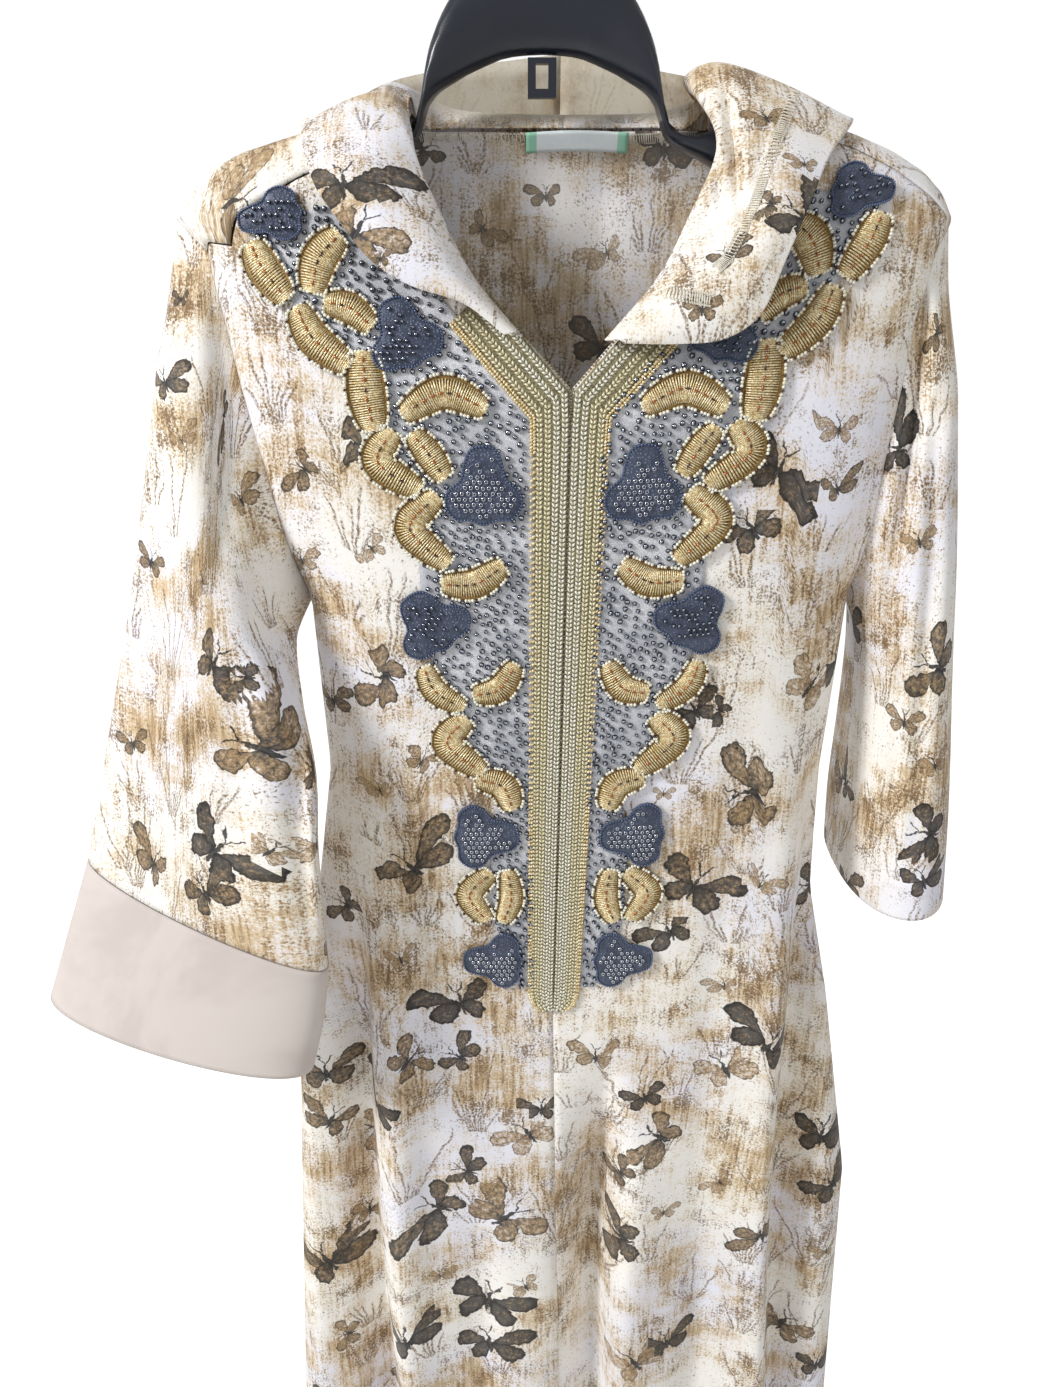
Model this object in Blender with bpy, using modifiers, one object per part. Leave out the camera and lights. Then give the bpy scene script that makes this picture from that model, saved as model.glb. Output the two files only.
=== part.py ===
# Hooded kaftan with three-quarter sleeves, hanging on a moulded hanger.
# Metres, +Z up, the front faces -Y, and +X is the wearer's left.
# The origin is the seat inside the hanger's hook, so the whole garment hangs below it.

import math

import bmesh
import bpy
from mathutils import Vector

# Driving sizes
WALL = 0.0015            # crepe, as a wall
SEAM_GAP = 0.0004        # between two pieces that are sewn together
CENTRE_GAP = 0.0010      # between the two fronts, whose walls lean with the folds
SHOULDER_GAP = 0.0012    # at the shoulder seam, which crosses the folds of both edges
EDGE_SET_BACK = 0.0011   # side edges stop this far from the side seam's plane
SHIFT_X = 0.013          # the garment hangs this far to the right of the hanger's middle
HEM_Z = -1.600           # floor-length hem
UNDERARM_Z = -0.432
SEAM_TOP_Z = -0.165      # above this the hood is sewn on behind the shoulder
NECK_HALF = 0.090        # half the neck's width at the shoulder
V_BOTTOM_Z = -0.297      # foot of the V neck
BRAID_END_Z = -0.722     # rounded foot of the braid on the centre front
SHOULDER_HALF = 0.226    # half the shoulders' width at the ridge
RIDGE_R = 0.045          # how far the cloth rounds down over the shoulder
ARMHOLE_OPEN = 0.014     # the side's rounding lies this far outside the armhole's edge
ARMHOLE_GAP = 0.0024     # between the armhole's edge and the sleeve
SHOULDER_CLEAR = 0.0045  # the hood's foot passes this far over the shoulder's edge
SHOULDER_TURN_Z = -0.185 # above this the hood's foot turns over the shoulder
BACK_NECK_Y = 0.021      # where the hood is sewn behind the neck
NET_THICK = 0.0010
MOTIF_THICK = 0.0020
BRAID_THICK = 0.0022
OVERLAY_GAP = 0.0007     # between the front and what is sewn onto it

# Silhouette of the body below the shoulders: side edges and how deep front and back stand
BODY_COLUMNS = ("z", "left", "right", "front", "back")
BODY_ROWS = [
    (-0.205, 0.226, 0.226, 0.034, 0.034),
    (-0.224, 0.205, 0.214, 0.038, 0.035),
    (-0.260, 0.197, 0.204, 0.045, 0.038),
    (-0.297, 0.190, 0.200, 0.050, 0.040),
    (-0.340, 0.181, 0.195, 0.050, 0.040),
    (-0.432, 0.162, 0.187, 0.050, 0.040),
    (-0.550, 0.157, 0.181, 0.050, 0.040),
    (-0.650, 0.172, 0.184, 0.050, 0.042),
    (-0.740, 0.192, 0.204, 0.050, 0.046),
    (-0.900, 0.202, 0.232, 0.050, 0.050),
    (-1.160, 0.217, 0.241, 0.050, 0.055),
    (-1.600, 0.245, 0.262, 0.052, 0.062),
]

# The shoulder's ridge, the highest line of the cloth, outwards from the neck
RIDGE_COLUMNS = ("out", "left_z", "right_z")
RIDGE_ROWS = [
    (0.000, -0.150, -0.150),
    (0.090, -0.150, -0.149),
    (0.140, -0.158, -0.155),
    (0.162, -0.164, -0.160),
    (0.186, -0.171, -0.169),
    (0.206, -0.181, -0.180),
    (0.218, -0.192, -0.191),
    (0.226, -0.205, -0.205),
]

# How far below the ridge the shoulder seam lies, on the front
SEAM_COLUMNS = ("out", "left_drop", "right_drop")
SEAM_ROWS = [
    (0.088, 0.018, 0.012),
    (0.150, 0.026, 0.010),
    (0.205, 0.041, 0.014),
    (0.226, 0.019, 0.012),
]

# Neckline of the front, from the foot of the V to the shoulder
NECK_COLUMNS = ("z", "half")
NECK_ROWS = [
    (-0.297, 0.0003),
    (-0.268, 0.027),
    (-0.244, 0.049),
    (-0.228, 0.060),
    (-0.197, 0.075),
    (-0.168, 0.088),
]

# Sway of the centre front
CENTRE_COLUMNS = ("z", "x")
CENTRE_ROWS = [
    (-0.297, 0.004),
    (-0.550, 0.000),
    (-0.722, -0.003),
    (-0.920, 0.001),
    (-1.110, 0.006),
    (-1.600, 0.008),
]

# Hanging folds: x at the hem and at the top, where each starts, its half width and its depth
FOLD_COLUMNS = ("x_top", "x_hem", "z_top", "half_width", "depth")
FRONT_FOLDS = [
    (-0.140, -0.148, -0.640, 0.018, 0.034),
    (-0.124, -0.092, -0.720, 0.012, -0.010),
    (0.034, 0.036, -0.745, 0.017, 0.026),
    (0.052, 0.064, -0.760, 0.012, -0.008),
    (0.168, 0.206, -0.500, 0.013, 0.020),
    (-0.060, -0.040, -0.900, 0.020, 0.010),
    (0.118, 0.132, -0.950, 0.022, 0.010),
]
BACK_FOLDS = [
    (-0.120, -0.150, -0.450, 0.022, 0.022),
    (-0.040, -0.052, -0.520, 0.024, 0.018),
    (0.050, 0.058, -0.500, 0.024, 0.020),
    (0.130, 0.162, -0.460, 0.022, 0.022),
]

# Sleeves: the outer and inner edge of each ring, and its half depth, from armhole to hem
SLEEVE_COLUMNS = ("outer", "inner", "half_depth")
SLEEVE_RIGHT_ROWS = [
    ((-0.227, -0.002, -0.215), (-0.163, -0.004, -0.432), 0.040),
    ((-0.239, -0.012, -0.275), (-0.169, -0.032, -0.456), 0.036),
    ((-0.252, -0.024, -0.345), (-0.160, -0.068, -0.486), 0.030),
    ((-0.268, -0.032, -0.420), (-0.151, -0.086, -0.525), 0.027),
    ((-0.288, -0.040, -0.500), (-0.151, -0.095, -0.575), 0.026),
    ((-0.315, -0.045, -0.600), (-0.149, -0.100, -0.650), 0.026),
]
CUFF_ROWS = [
    ((-0.3155, -0.045, -0.6010), (-0.1487, -0.100, -0.6510), 0.0262),
    ((-0.336, -0.045, -0.655), (-0.154, -0.100, -0.690), 0.030),
    ((-0.356, -0.045, -0.708), (-0.163, -0.100, -0.728), 0.034),
]
SLEEVE_LEFT_ROWS = [
    ((0.228, -0.001, -0.215), (0.189, 0.000, -0.436), 0.042),
    ((0.238, 0.008, -0.285), (0.197, 0.006, -0.456), 0.052),
    ((0.251, 0.018, -0.380), (0.204, 0.014, -0.500), 0.066),
    ((0.261, 0.026, -0.470), (0.207, 0.022, -0.555), 0.076),
    ((0.271, 0.030, -0.560), (0.208, 0.028, -0.608), 0.084),
    ((0.277, 0.030, -0.640), (0.210, 0.030, -0.650), 0.086),
]

# The hood, by stations from its tip on the chest, over the shoulder, to the centre back.
# Each has the level of the neck seam and five places across: where it rises, where it
# rolls over, the middle, the outer part and the free edge of the face opening.
HOOD_COLUMNS = ("seam_z", "rise", "roll", "middle", "outer", "edge")
HOOD_RIGHT_STATIONS = [
    (-0.269, (-0.0265, -0.0570, -0.2680), (-0.0280, -0.0590, -0.2670),
     (-0.0300, -0.0600, -0.2665), (-0.0320, -0.0600, -0.2665), (-0.0340, -0.0598, -0.2670)),
    (-0.254, (-0.0400, -0.0550, -0.2540), (-0.0410, -0.0575, -0.2530),
     (-0.0450, -0.0620, -0.2540), (-0.0510, -0.0640, -0.2570), (-0.0580, -0.0630, -0.2590)),
    (-0.238, (-0.0520, -0.0520, -0.2390), (-0.0530, -0.0550, -0.2380),
     (-0.0610, -0.0640, -0.2400), (-0.0740, -0.0670, -0.2440), (-0.0880, -0.0650, -0.2480)),
    (-0.220, (-0.0630, -0.0470, -0.2210), (-0.0640, -0.0510, -0.2190),
     (-0.0770, -0.0620, -0.2210), (-0.0960, -0.0670, -0.2300), (-0.1160, -0.0640, -0.2390)),
    (-0.196, (-0.0765, -0.0395, -0.1940), (-0.0780, -0.0420, -0.1900),
     (-0.0960, -0.0530, -0.1960), (-0.1180, -0.0610, -0.2060), (-0.1390, -0.0590, -0.2160)),
    (-0.176, (-0.0850, -0.0340, -0.1690), (-0.0900, -0.0320, -0.1600),
     (-0.1110, -0.0400, -0.1620), (-0.1350, -0.0480, -0.1760), (-0.1540, -0.0480, -0.1900)),
    (-0.160, (-0.0900, 0.0060, -0.1420), (-0.1030, 0.0050, -0.1330),
     (-0.1240, -0.0040, -0.1380), (-0.1450, -0.0120, -0.1480), (-0.1600, -0.0160, -0.1590)),
    (-0.158, (-0.0880, 0.0300, -0.1350), (-0.1050, 0.0420, -0.1400),
     (-0.1240, 0.0540, -0.1850), (-0.1430, 0.0580, -0.1780), (-0.1520, 0.0420, -0.1450)),
    (-0.158, (-0.0600, 0.0440, -0.1480), (-0.0770, 0.0560, -0.2100),
     (-0.0950, 0.0720, -0.3150), (-0.1060, 0.0920, -0.2450), (-0.1000, 0.0820, -0.1200)),
    (-0.158, (-0.0012, 0.0460, -0.1560), (-0.0012, 0.0580, -0.2700),
     (-0.0012, 0.0780, -0.4150), (-0.0012, 0.1040, -0.2900), (-0.0012, 0.0930, -0.1050)),
]
HOOD_LEFT_STATIONS = [
    (-0.271, (0.0265, -0.0570, -0.2705), (0.0280, -0.0590, -0.2700),
     (0.0300, -0.0600, -0.2702), (0.0320, -0.0600, -0.2706), (0.0340, -0.0598, -0.2712)),
    (-0.258, (0.0380, -0.0555, -0.2585), (0.0390, -0.0580, -0.2580),
     (0.0450, -0.0620, -0.2610), (0.0530, -0.0640, -0.2670), (0.0620, -0.0630, -0.2715)),
    (-0.243, (0.0500, -0.0530, -0.2450), (0.0510, -0.0560, -0.2440),
     (0.0610, -0.0640, -0.2480), (0.0740, -0.0670, -0.2590), (0.0870, -0.0650, -0.2690)),
    (-0.228, (0.0610, -0.0490, -0.2300), (0.0620, -0.0520, -0.2280),
     (0.0760, -0.0630, -0.2330), (0.0920, -0.0680, -0.2450), (0.1060, -0.0650, -0.2560)),
    (-0.212, (0.0700, -0.0420, -0.2120), (0.0780, -0.0440, -0.2100),
     (0.0900, -0.0570, -0.2130), (0.1050, -0.0650, -0.2200), (0.1180, -0.0630, -0.2280)),
    (-0.192, (0.0780, -0.0390, -0.1900), (0.0860, -0.0420, -0.1870),
     (0.0990, -0.0490, -0.1870), (0.1160, -0.0560, -0.1930), (0.1300, -0.0550, -0.2010)),
    (-0.174, (0.0830, -0.0340, -0.1670), (0.0820, -0.0330, -0.1590),
     (0.0960, -0.0330, -0.1540), (0.1220, -0.0360, -0.1640), (0.1430, -0.0370, -0.1760)),
    (-0.160, (0.0820, 0.0060, -0.1440), (0.0680, 0.0060, -0.1330),
     (0.0860, 0.0060, -0.1270), (0.1260, 0.0020, -0.1380), (0.1620, -0.0060, -0.1550)),
    (-0.158, (0.0780, 0.0300, -0.1400), (0.0880, 0.0440, -0.1600),
     (0.1140, 0.0560, -0.1950), (0.1420, 0.0600, -0.1800), (0.1600, 0.0420, -0.1500)),
    (-0.158, (0.0560, 0.0440, -0.1500), (0.0740, 0.0560, -0.2200),
     (0.0920, 0.0720, -0.3200), (0.1040, 0.0920, -0.2450), (0.1040, 0.0820, -0.1240)),
    (-0.158, (0.0012, 0.0460, -0.1560), (0.0012, 0.0580, -0.2700),
     (0.0012, 0.0780, -0.4150), (0.0012, 0.1040, -0.2900), (0.0012, 0.0930, -0.1050)),
]

# Braid: its inner and outer edge, out from the centre front, from the foot to the lapel
BRAID_COLUMNS = ("inner_out", "inner_z", "outer_out", "outer_z")
BRAID_ROWS = [
    (0.0006, -0.7220, 0.0080, -0.7215),
    (0.0006, -0.7170, 0.0130, -0.7165),
    (0.0006, -0.7060, 0.0155, -0.7060),
    (0.0006, -0.5500, 0.0175, -0.5500),
    (0.0006, -0.3150, 0.0200, -0.3300),
    (0.0016, -0.2985, 0.0205, -0.3120),
    (0.0280, -0.2690, 0.0450, -0.2850),
    (0.0500, -0.2450, 0.0670, -0.2600),
]

# Net of the bib: inner and outer edge, out from the centre front
NET_COLUMNS = ("inner_out", "inner_z", "outer_out", "outer_z")
NET_ROWS = [
    (0.0195, -0.702, 0.0260, -0.702),
    (0.0205, -0.655, 0.0440, -0.650),
    (0.0210, -0.600, 0.0460, -0.600),
    (0.0220, -0.550, 0.0400, -0.548),
    (0.0225, -0.510, 0.0660, -0.512),
    (0.0230, -0.460, 0.0820, -0.458),
    (0.0240, -0.415, 0.0860, -0.415),
    (0.0255, -0.370, 0.0880, -0.372),
    (0.0280, -0.338, 0.0990, -0.338),
    (0.0520, -0.292, 0.1120, -0.299),
    (0.0690, -0.272, 0.1240, -0.280),
    (0.0900, -0.250, 0.1500, -0.256),
    (0.1200, -0.222, 0.1660, -0.232),
    (0.1430, -0.204, 0.1760, -0.213),
]

# Blue bead motifs, bell shaped: place, size and where the bell's neck points,
# in degrees from up, outwards
BELL_COLUMNS = ("out", "z", "width", "height", "turn")
BELLS = [
    (0.163, -0.206, 0.026, 0.036, 100),
    (0.091, -0.268, 0.040, 0.038, 20),
    (0.047, -0.353, 0.044, 0.046, 0),
    (0.081, -0.436, 0.045, 0.040, 35),
    (0.049, -0.583, 0.044, 0.042, -90),
    (0.044, -0.679, 0.041, 0.040, 90),
]
# Half of a bell's outline in widths and heights, from its neck round to its foot
BELL_OUTLINE = [
    (0.00, 0.50), (0.16, 0.46), (0.24, 0.30), (0.29, 0.10),
    (0.45, -0.03), (0.49, -0.22), (0.36, -0.39), (0.17, -0.40), (0.00, -0.46),
]

# Gold petals: start, middle and end, out from the centre front, and their width
PETAL_COLUMNS = ("start", "middle", "end", "width")
PETALS = [
    ((0.174, -0.222), (0.169, -0.233), (0.158, -0.247), 0.016),
    ((0.141, -0.243), (0.137, -0.228), (0.127, -0.218), 0.017),
    ((0.149, -0.256), (0.142, -0.270), (0.125, -0.283), 0.016),
    ((0.132, -0.252), (0.121, -0.254), (0.111, -0.262), 0.013),
    ((0.114, -0.280), (0.113, -0.299), (0.110, -0.317), 0.019),
    ((0.090, -0.310), (0.069, -0.299), (0.048, -0.307), 0.015),
    ((0.100, -0.323), (0.108, -0.338), (0.087, -0.353), 0.016),
    ((0.086, -0.324), (0.078, -0.334), (0.071, -0.345), 0.013),
    ((0.076, -0.360), (0.091, -0.377), (0.071, -0.397), 0.016),
    ((0.070, -0.411), (0.053, -0.411), (0.038, -0.401), 0.015),
    ((0.084, -0.467), (0.079, -0.480), (0.064, -0.490), 0.013),
    ((0.052, -0.482), (0.039, -0.479), (0.030, -0.465), 0.014),
    ((0.061, -0.501), (0.072, -0.516), (0.052, -0.534), 0.017),
    ((0.051, -0.542), (0.037, -0.546), (0.032, -0.560), 0.016),
    ((0.047, -0.612), (0.060, -0.627), (0.050, -0.644), 0.015),
    ((0.034, -0.611), (0.032, -0.630), (0.037, -0.645), 0.013),
]
LEFT_RISE = 0.014        # the bib's wearer's-left half hangs this much higher at the shoulder

# Hanger: out from its middle, top, underside and half depth of the moulded arms
HANGER_COLUMNS = ("out", "top_z", "under_z", "half_depth")
HANGER_ROWS = [
    (0.000, -0.064, -0.122, 0.010),
    (0.020, -0.066, -0.123, 0.011),
    (0.040, -0.078, -0.131, 0.012),
    (0.056, -0.100, -0.139, 0.014),
    (0.065, -0.122, -0.146, 0.014),
    (0.070, -0.160, -0.166, 0.010),
    (0.088, -0.162, -0.173, 0.012),
    (0.098, -0.1580, -0.179, 0.014),
    (0.110, -0.1583, -0.186, 0.014),
    (0.140, -0.1649, -0.204, 0.014),
    (0.170, -0.1736, -0.214, 0.012),
    (0.190, -0.1829, -0.216, 0.008),
]
HOOK_RADIUS = 0.020      # middle line of the hook's bend
HOOK_WIRE = 0.0022       # radius of the hook's wire
HOOK_SINK = 0.0004       # between the hook's foot and the body
HOOK_STEM = 0.008        # straight stem between the body and the bend
HOOK_TURN = (155, 235)   # where the bend starts, from straight up, and how far it turns, in degrees
LABEL_SIZE = (0.060, 0.012)
LABEL_X = 0.008          # the label's middle, from the centre back
LABEL_Y = 0.034          # how far behind the ridge the neck's facing stands
LABEL_UNDER = 0.0006     # below the back's inner face


def smooth(t):
    t = min(1.0, max(0.0, t))
    return t * t * (3.0 - 2.0 * t)


def read_row(rows, key, column):
    """Value in a column at a key, from rows whose first column rises or falls evenly."""
    ordered = rows if rows[0][0] < rows[-1][0] else rows[::-1]
    if key <= ordered[0][0]:
        return ordered[0][column]
    for low, high in zip(ordered, ordered[1:]):
        if key <= high[0]:
            t = (key - low[0]) / (high[0] - low[0])
            return low[column] + (high[column] - low[column]) * t
    return ordered[-1][column]


def spline(points, t):
    """Smooth curve through points, t from 0 to 1."""
    last = len(points) - 1
    place = min(max(t, 0.0), 1.0) * last
    i = min(int(place), last - 1)
    f = place - i
    p0 = points[max(i - 1, 0)]
    p1 = points[i]
    p2 = points[i + 1]
    p3 = points[min(i + 2, last)]
    return 0.5 * ((2 * p1) + (p2 - p0) * f + (2 * p0 - 5 * p1 + 4 * p2 - p3) * f * f
                  + (3 * p1 - p0 - 3 * p2 + p3) * f * f * f)


def polyline(points, t):
    """Straight runs between points, t from 0 to 1."""
    place = min(max(t, 0.0), 1.0) * (len(points) - 1)
    i = min(int(place + 0.0001), len(points) - 2)
    return points[i] + (points[i + 1] - points[i]) * (place - i)


def half_width(side, z):
    column = 1 if side < 0 else 2
    return read_row(BODY_ROWS, z, column)


def ridge_z(side, out):
    column = 1 if side < 0 else 2
    return read_row(RIDGE_ROWS, abs(out), column)


def seam_drop(side, out):
    column = 1 if side < 0 else 2
    return read_row(SEAM_ROWS, abs(out), column)


def neck_half(z):
    return read_row(NECK_ROWS, z, 1)


def centre_x(z):
    return read_row(CENTRE_ROWS, z, 1)


def profile(x, z):
    """1 over the middle of the body, falling to 0 at its side edge."""
    side = -1 if x < 0 else 1
    open_arm = ARMHOLE_OPEN * smooth((z - UNDERARM_Z) / 0.06)
    q = min(1.0, abs(x) / (half_width(side, z) + open_arm))
    return math.sqrt(max(0.0, 1.0 - q ** 6))


def fold_depth(folds, x, z):
    total = 0.0
    for x_top, x_hem, z_top, half, depth in folds:
        if z >= z_top:
            continue
        t = (z_top - z) / (z_top - HEM_Z)
        middle = x_top + (x_hem - x_top) * t
        grown = smooth(t / 0.20)
        spread = half * (1.0 + 0.5 * t)
        total += depth * grown * math.exp(-((x - middle) / spread) ** 2)
    return total


def ridge_drop(x, z):
    """How far a level lies below the shoulder's ridge, at the same share of the width."""
    side = -1 if x < 0 else 1
    share = min(1.0, abs(x) / half_width(side, z))
    return ridge_z(side, share * SHOULDER_HALF) - z


def front_y(x, z):
    """The front's outer surface."""
    drop = min(RIDGE_R, max(0.0, ridge_drop(x, z)))
    over = math.sqrt(drop / RIDGE_R * (2.0 - drop / RIDGE_R))
    depth = read_row(BODY_ROWS, z, 3)
    edge = profile(x, z)
    return -depth * edge * over + fold_depth(FRONT_FOLDS, x, z) * edge


def back_y(x, z):
    """The back's outer surface, below the shoulder."""
    depth = read_row(BODY_ROWS, z, 4)
    edge = profile(x, z)
    return depth * edge - fold_depth(BACK_FOLDS, x, z) * edge


def front_point(x, z, out=0.0):
    """A point on the front, moved out of its surface."""
    step = 0.002
    slope_x = (front_y(x + step, z) - front_y(x - step, z)) / (2 * step)
    slope_z = (front_y(x, z + step) - front_y(x, z - step)) / (2 * step)
    normal = Vector((slope_x, -1.0, slope_z)).normalized()
    return Vector((x, front_y(x, z), z)) + normal * out


# Materials
def make_material(name, colour, roughness, metallic=0.0):
    material = bpy.data.materials.new(name)
    material.use_nodes = True
    shader = material.node_tree.nodes["Principled BSDF"]
    shader.inputs["Base Color"].default_value = (*colour, 1.0)
    shader.inputs["Roughness"].default_value = roughness
    shader.inputs["Metallic"].default_value = metallic
    return material


def add_object(name, mesh, material):
    mesh.materials.append(material)
    thing = bpy.data.objects.new(name, mesh)
    parts.objects.link(thing)
    return thing


def grid_mesh(name, columns, rows, place, closed=False):
    """A grid of cells, placed by a function of u and v from 0 to 1."""
    bm = bmesh.new()
    bmesh.ops.create_grid(bm, x_segments=columns, y_segments=rows, size=0.5)
    for vert in bm.verts:
        u = vert.co.x + 0.5
        v = vert.co.y + 0.5
        point = place(u, v)
        vert.co = Vector((point[0] + SHIFT_X, point[1], point[2]))
    if closed:
        bmesh.ops.remove_doubles(bm, verts=bm.verts, dist=0.00002)
    mesh = bpy.data.meshes.new(name)
    bm.to_mesh(mesh)
    bm.free()
    mesh.shade_smooth()
    return mesh


def thicken(thing, thickness, inward=True):
    shell = thing.modifiers.new("Wall", "SOLIDIFY")
    shell.thickness = thickness
    shell.offset = -1.0 if inward else 1.0
    shell.use_even_offset = False


# Fronts
FRONT_GRID = (10, 30)
BACK_GRID = (30, 26)
NECK_OUTS = (0.0, 0.030, 0.060, 0.083, 0.0865, NECK_HALF)   # the back's columns behind the neck
BACK_OVER = 6 / 26       # share of the back's rows that goes over the shoulder
BACK_NECK_ANGLE = math.radians(34)
KNEE = 20 / 30           # share of a front's rows below the foot of the V


def seam_level(side, share):
    """Level of the shoulder seam at a share of the shoulder's width."""
    out = share * SHOULDER_HALF
    return ridge_z(side, out) - seam_drop(side, out)


def spread(u):
    """Columns lie closer together towards the side edge."""
    return 0.6 * math.sin(u * math.pi / 2) + 0.4 * u


def front_place(side, across, v):
    """A front's cell corner: across from the centre to the side, v from the hem up."""
    s = spread(across)
    if v < KNEE:
        z = HEM_Z + (V_BOTTOM_Z - HEM_Z) * v / KNEE
        x_in = centre_x(z) + side * CENTRE_GAP / 2
        return x_in + (side * half_width(side, z) - x_in) * s, z
    t = (v - KNEE) / (1.0 - KNEE)
    low_in = centre_x(V_BOTTOM_Z) + side * CENTRE_GAP / 2
    low_out = side * half_width(side, V_BOTTOM_Z)
    neck_share = NECK_HALF / SHOULDER_HALF
    share = neck_share + (1.0 - neck_share) * s
    top_z = seam_level(side, share)
    top_x = side * share * half_width(side, top_z)
    low_x = low_in + (low_out - low_in) * s
    z = V_BOTTOM_Z + (top_z - V_BOTTOM_Z) * t
    x = low_x + (top_x - low_x) * t
    # the neckline and the armhole curve between their ends
    neck_top = seam_level(side, neck_share)
    z_in = V_BOTTOM_Z + (neck_top - V_BOTTOM_Z) * t
    straight_in = low_in + (side * NECK_HALF - low_in) * t
    curved_in = side * neck_half(z_in) + low_in * (1.0 - t)
    arm_top = seam_level(side, 1.0)
    z_out = V_BOTTOM_Z + (arm_top - V_BOTTOM_Z) * t
    straight_out = low_out + (side * half_width(side, arm_top) - low_out) * t
    curved_out = side * half_width(side, z_out)
    x += (curved_in - straight_in) * (1.0 - s) + (curved_out - straight_out) * s
    return x, z


def make_front(side, material):
    name = "front_left" if side > 0 else "front_right"

    def place(u, v):
        across = u if side > 0 else 1.0 - u
        x, z = front_place(side, across, v)
        return (x, min(front_y(x, z), -EDGE_SET_BACK), z)

    mesh = grid_mesh(name, FRONT_GRID[0], FRONT_GRID[1], place)
    front = add_object(name, mesh, material)
    thicken(front, WALL)
    return front


def back_share(across):
    """Share of the half width at a back column, matching the front's columns at the shoulder."""
    place = across * BACK_GRID[0] / 2
    steps = len(NECK_OUTS) - 1
    if place < steps:
        i = int(place + 0.001)
        out = NECK_OUTS[i] + (NECK_OUTS[min(i + 1, steps)] - NECK_OUTS[i]) * (place - i)
        return out / SHOULDER_HALF
    neck_share = NECK_HALF / SHOULDER_HALF
    return neck_share + (1.0 - neck_share) * spread((place - steps) / (BACK_GRID[0] / 2 - steps))


def back_end_angle(side, share):
    """How far over the ridge the back reaches, as an angle from straight behind."""
    out = share * SHOULDER_HALF
    seam = -math.acos(1.0 - seam_drop(side, out) / RIDGE_R) + SHOULDER_GAP / RIDGE_R
    return BACK_NECK_ANGLE + (seam - BACK_NECK_ANGLE) * smooth((out - 0.083) / 0.007)


def back_place(u, v):
    across = 2.0 * u - 1.0
    side = 1 if across < 0 else -1          # u runs from the wearer's left to right
    share = back_share(abs(across))
    ridge = ridge_z(side, share * SHOULDER_HALF)
    top = 1.0 - BACK_OVER
    if v < top:
        z = HEM_Z + (ridge - RIDGE_R - HEM_Z) * v / top
        x = side * share * half_width(side, z)
        return (x, max(back_y(x, z), EDGE_SET_BACK), z)
    t = (v - top) / BACK_OVER
    angle = math.pi / 2 + (back_end_angle(side, share) - math.pi / 2) * t
    z = ridge - RIDGE_R * (1.0 - math.cos(angle))
    x = side * share * half_width(side, z)
    depth = read_row(BODY_ROWS, z, 4 if angle > 0 else 3)
    y = depth * profile(x, z) * math.sin(angle)
    if angle > 0.0:
        y = max(y, EDGE_SET_BACK * math.sin(angle))
    return (x, y, z)


def make_back(material):
    mesh = grid_mesh("back", BACK_GRID[0], BACK_GRID[1], back_place)
    back = add_object("back", mesh, material)
    thicken(back, WALL)
    return back


# Sleeves
SLEEVE_AROUND = 24
SLEEVE_ALONG = 12
JOIN_SHARE = 0.22        # share of the sleeve over which it takes the armhole's shape


def armhole_loop(side):
    """The armhole's edge as one loop, from the underarm up the front and down the back."""
    front = []
    back = []
    steps = 24
    for i in range(steps + 1):
        t = i / steps
        z = UNDERARM_Z + (seam_level(side, 1.0) - UNDERARM_Z) * t
        x = side * half_width(side, z)
        front.append(Vector((x, min(front_y(x, z), -EDGE_SET_BACK), z)))
        level = ridge_z(side, SHOULDER_HALF) - RIDGE_R
        z_back = UNDERARM_Z + (level - UNDERARM_Z) * t
        x_back = side * half_width(side, z_back)
        back.append(Vector((x_back, max(back_y(x_back, z_back), EDGE_SET_BACK), z_back)))
    for i in range(1, 7):
        angle = math.pi / 2 * (1.0 - i / 6)
        z = ridge_z(side, SHOULDER_HALF) - RIDGE_R * (1.0 - math.cos(angle))
        x = side * half_width(side, z)
        depth = read_row(BODY_ROWS, z, 4)
        y = max(depth * profile(x, z), EDGE_SET_BACK) * math.sin(angle)
        back.append(Vector((x, y, z)))
    return front + back[::-1]


def resample(loop, count):
    """Points at even steps around a closed loop."""
    closed = loop + [loop[0]]
    lengths = [0.0]
    for a, b in zip(closed, closed[1:]):
        lengths.append(lengths[-1] + (b - a).length)
    out = []
    place = 0
    for i in range(count):
        target = lengths[-1] * i / count
        while lengths[place + 1] < target:
            place += 1
        step = lengths[place + 1] - lengths[place]
        t = (target - lengths[place]) / step if step else 0.0
        out.append(closed[place].lerp(closed[place + 1], t))
    return out


def ring_point(rows, angle, along):
    """A point of a flattened tube: angle 0 is its inner edge and a quarter turn its front."""
    outer = spline([Vector(row[0]) for row in rows], along)
    inner = spline([Vector(row[1]) for row in rows], along)
    half = spline([row[2] for row in rows], along)
    middle = (outer + inner) / 2
    lift = math.copysign(abs(math.sin(angle)) ** 0.8, math.sin(angle))
    return middle + (inner - middle) * math.cos(angle) + Vector((0.0, -half * lift, 0.0))


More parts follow.
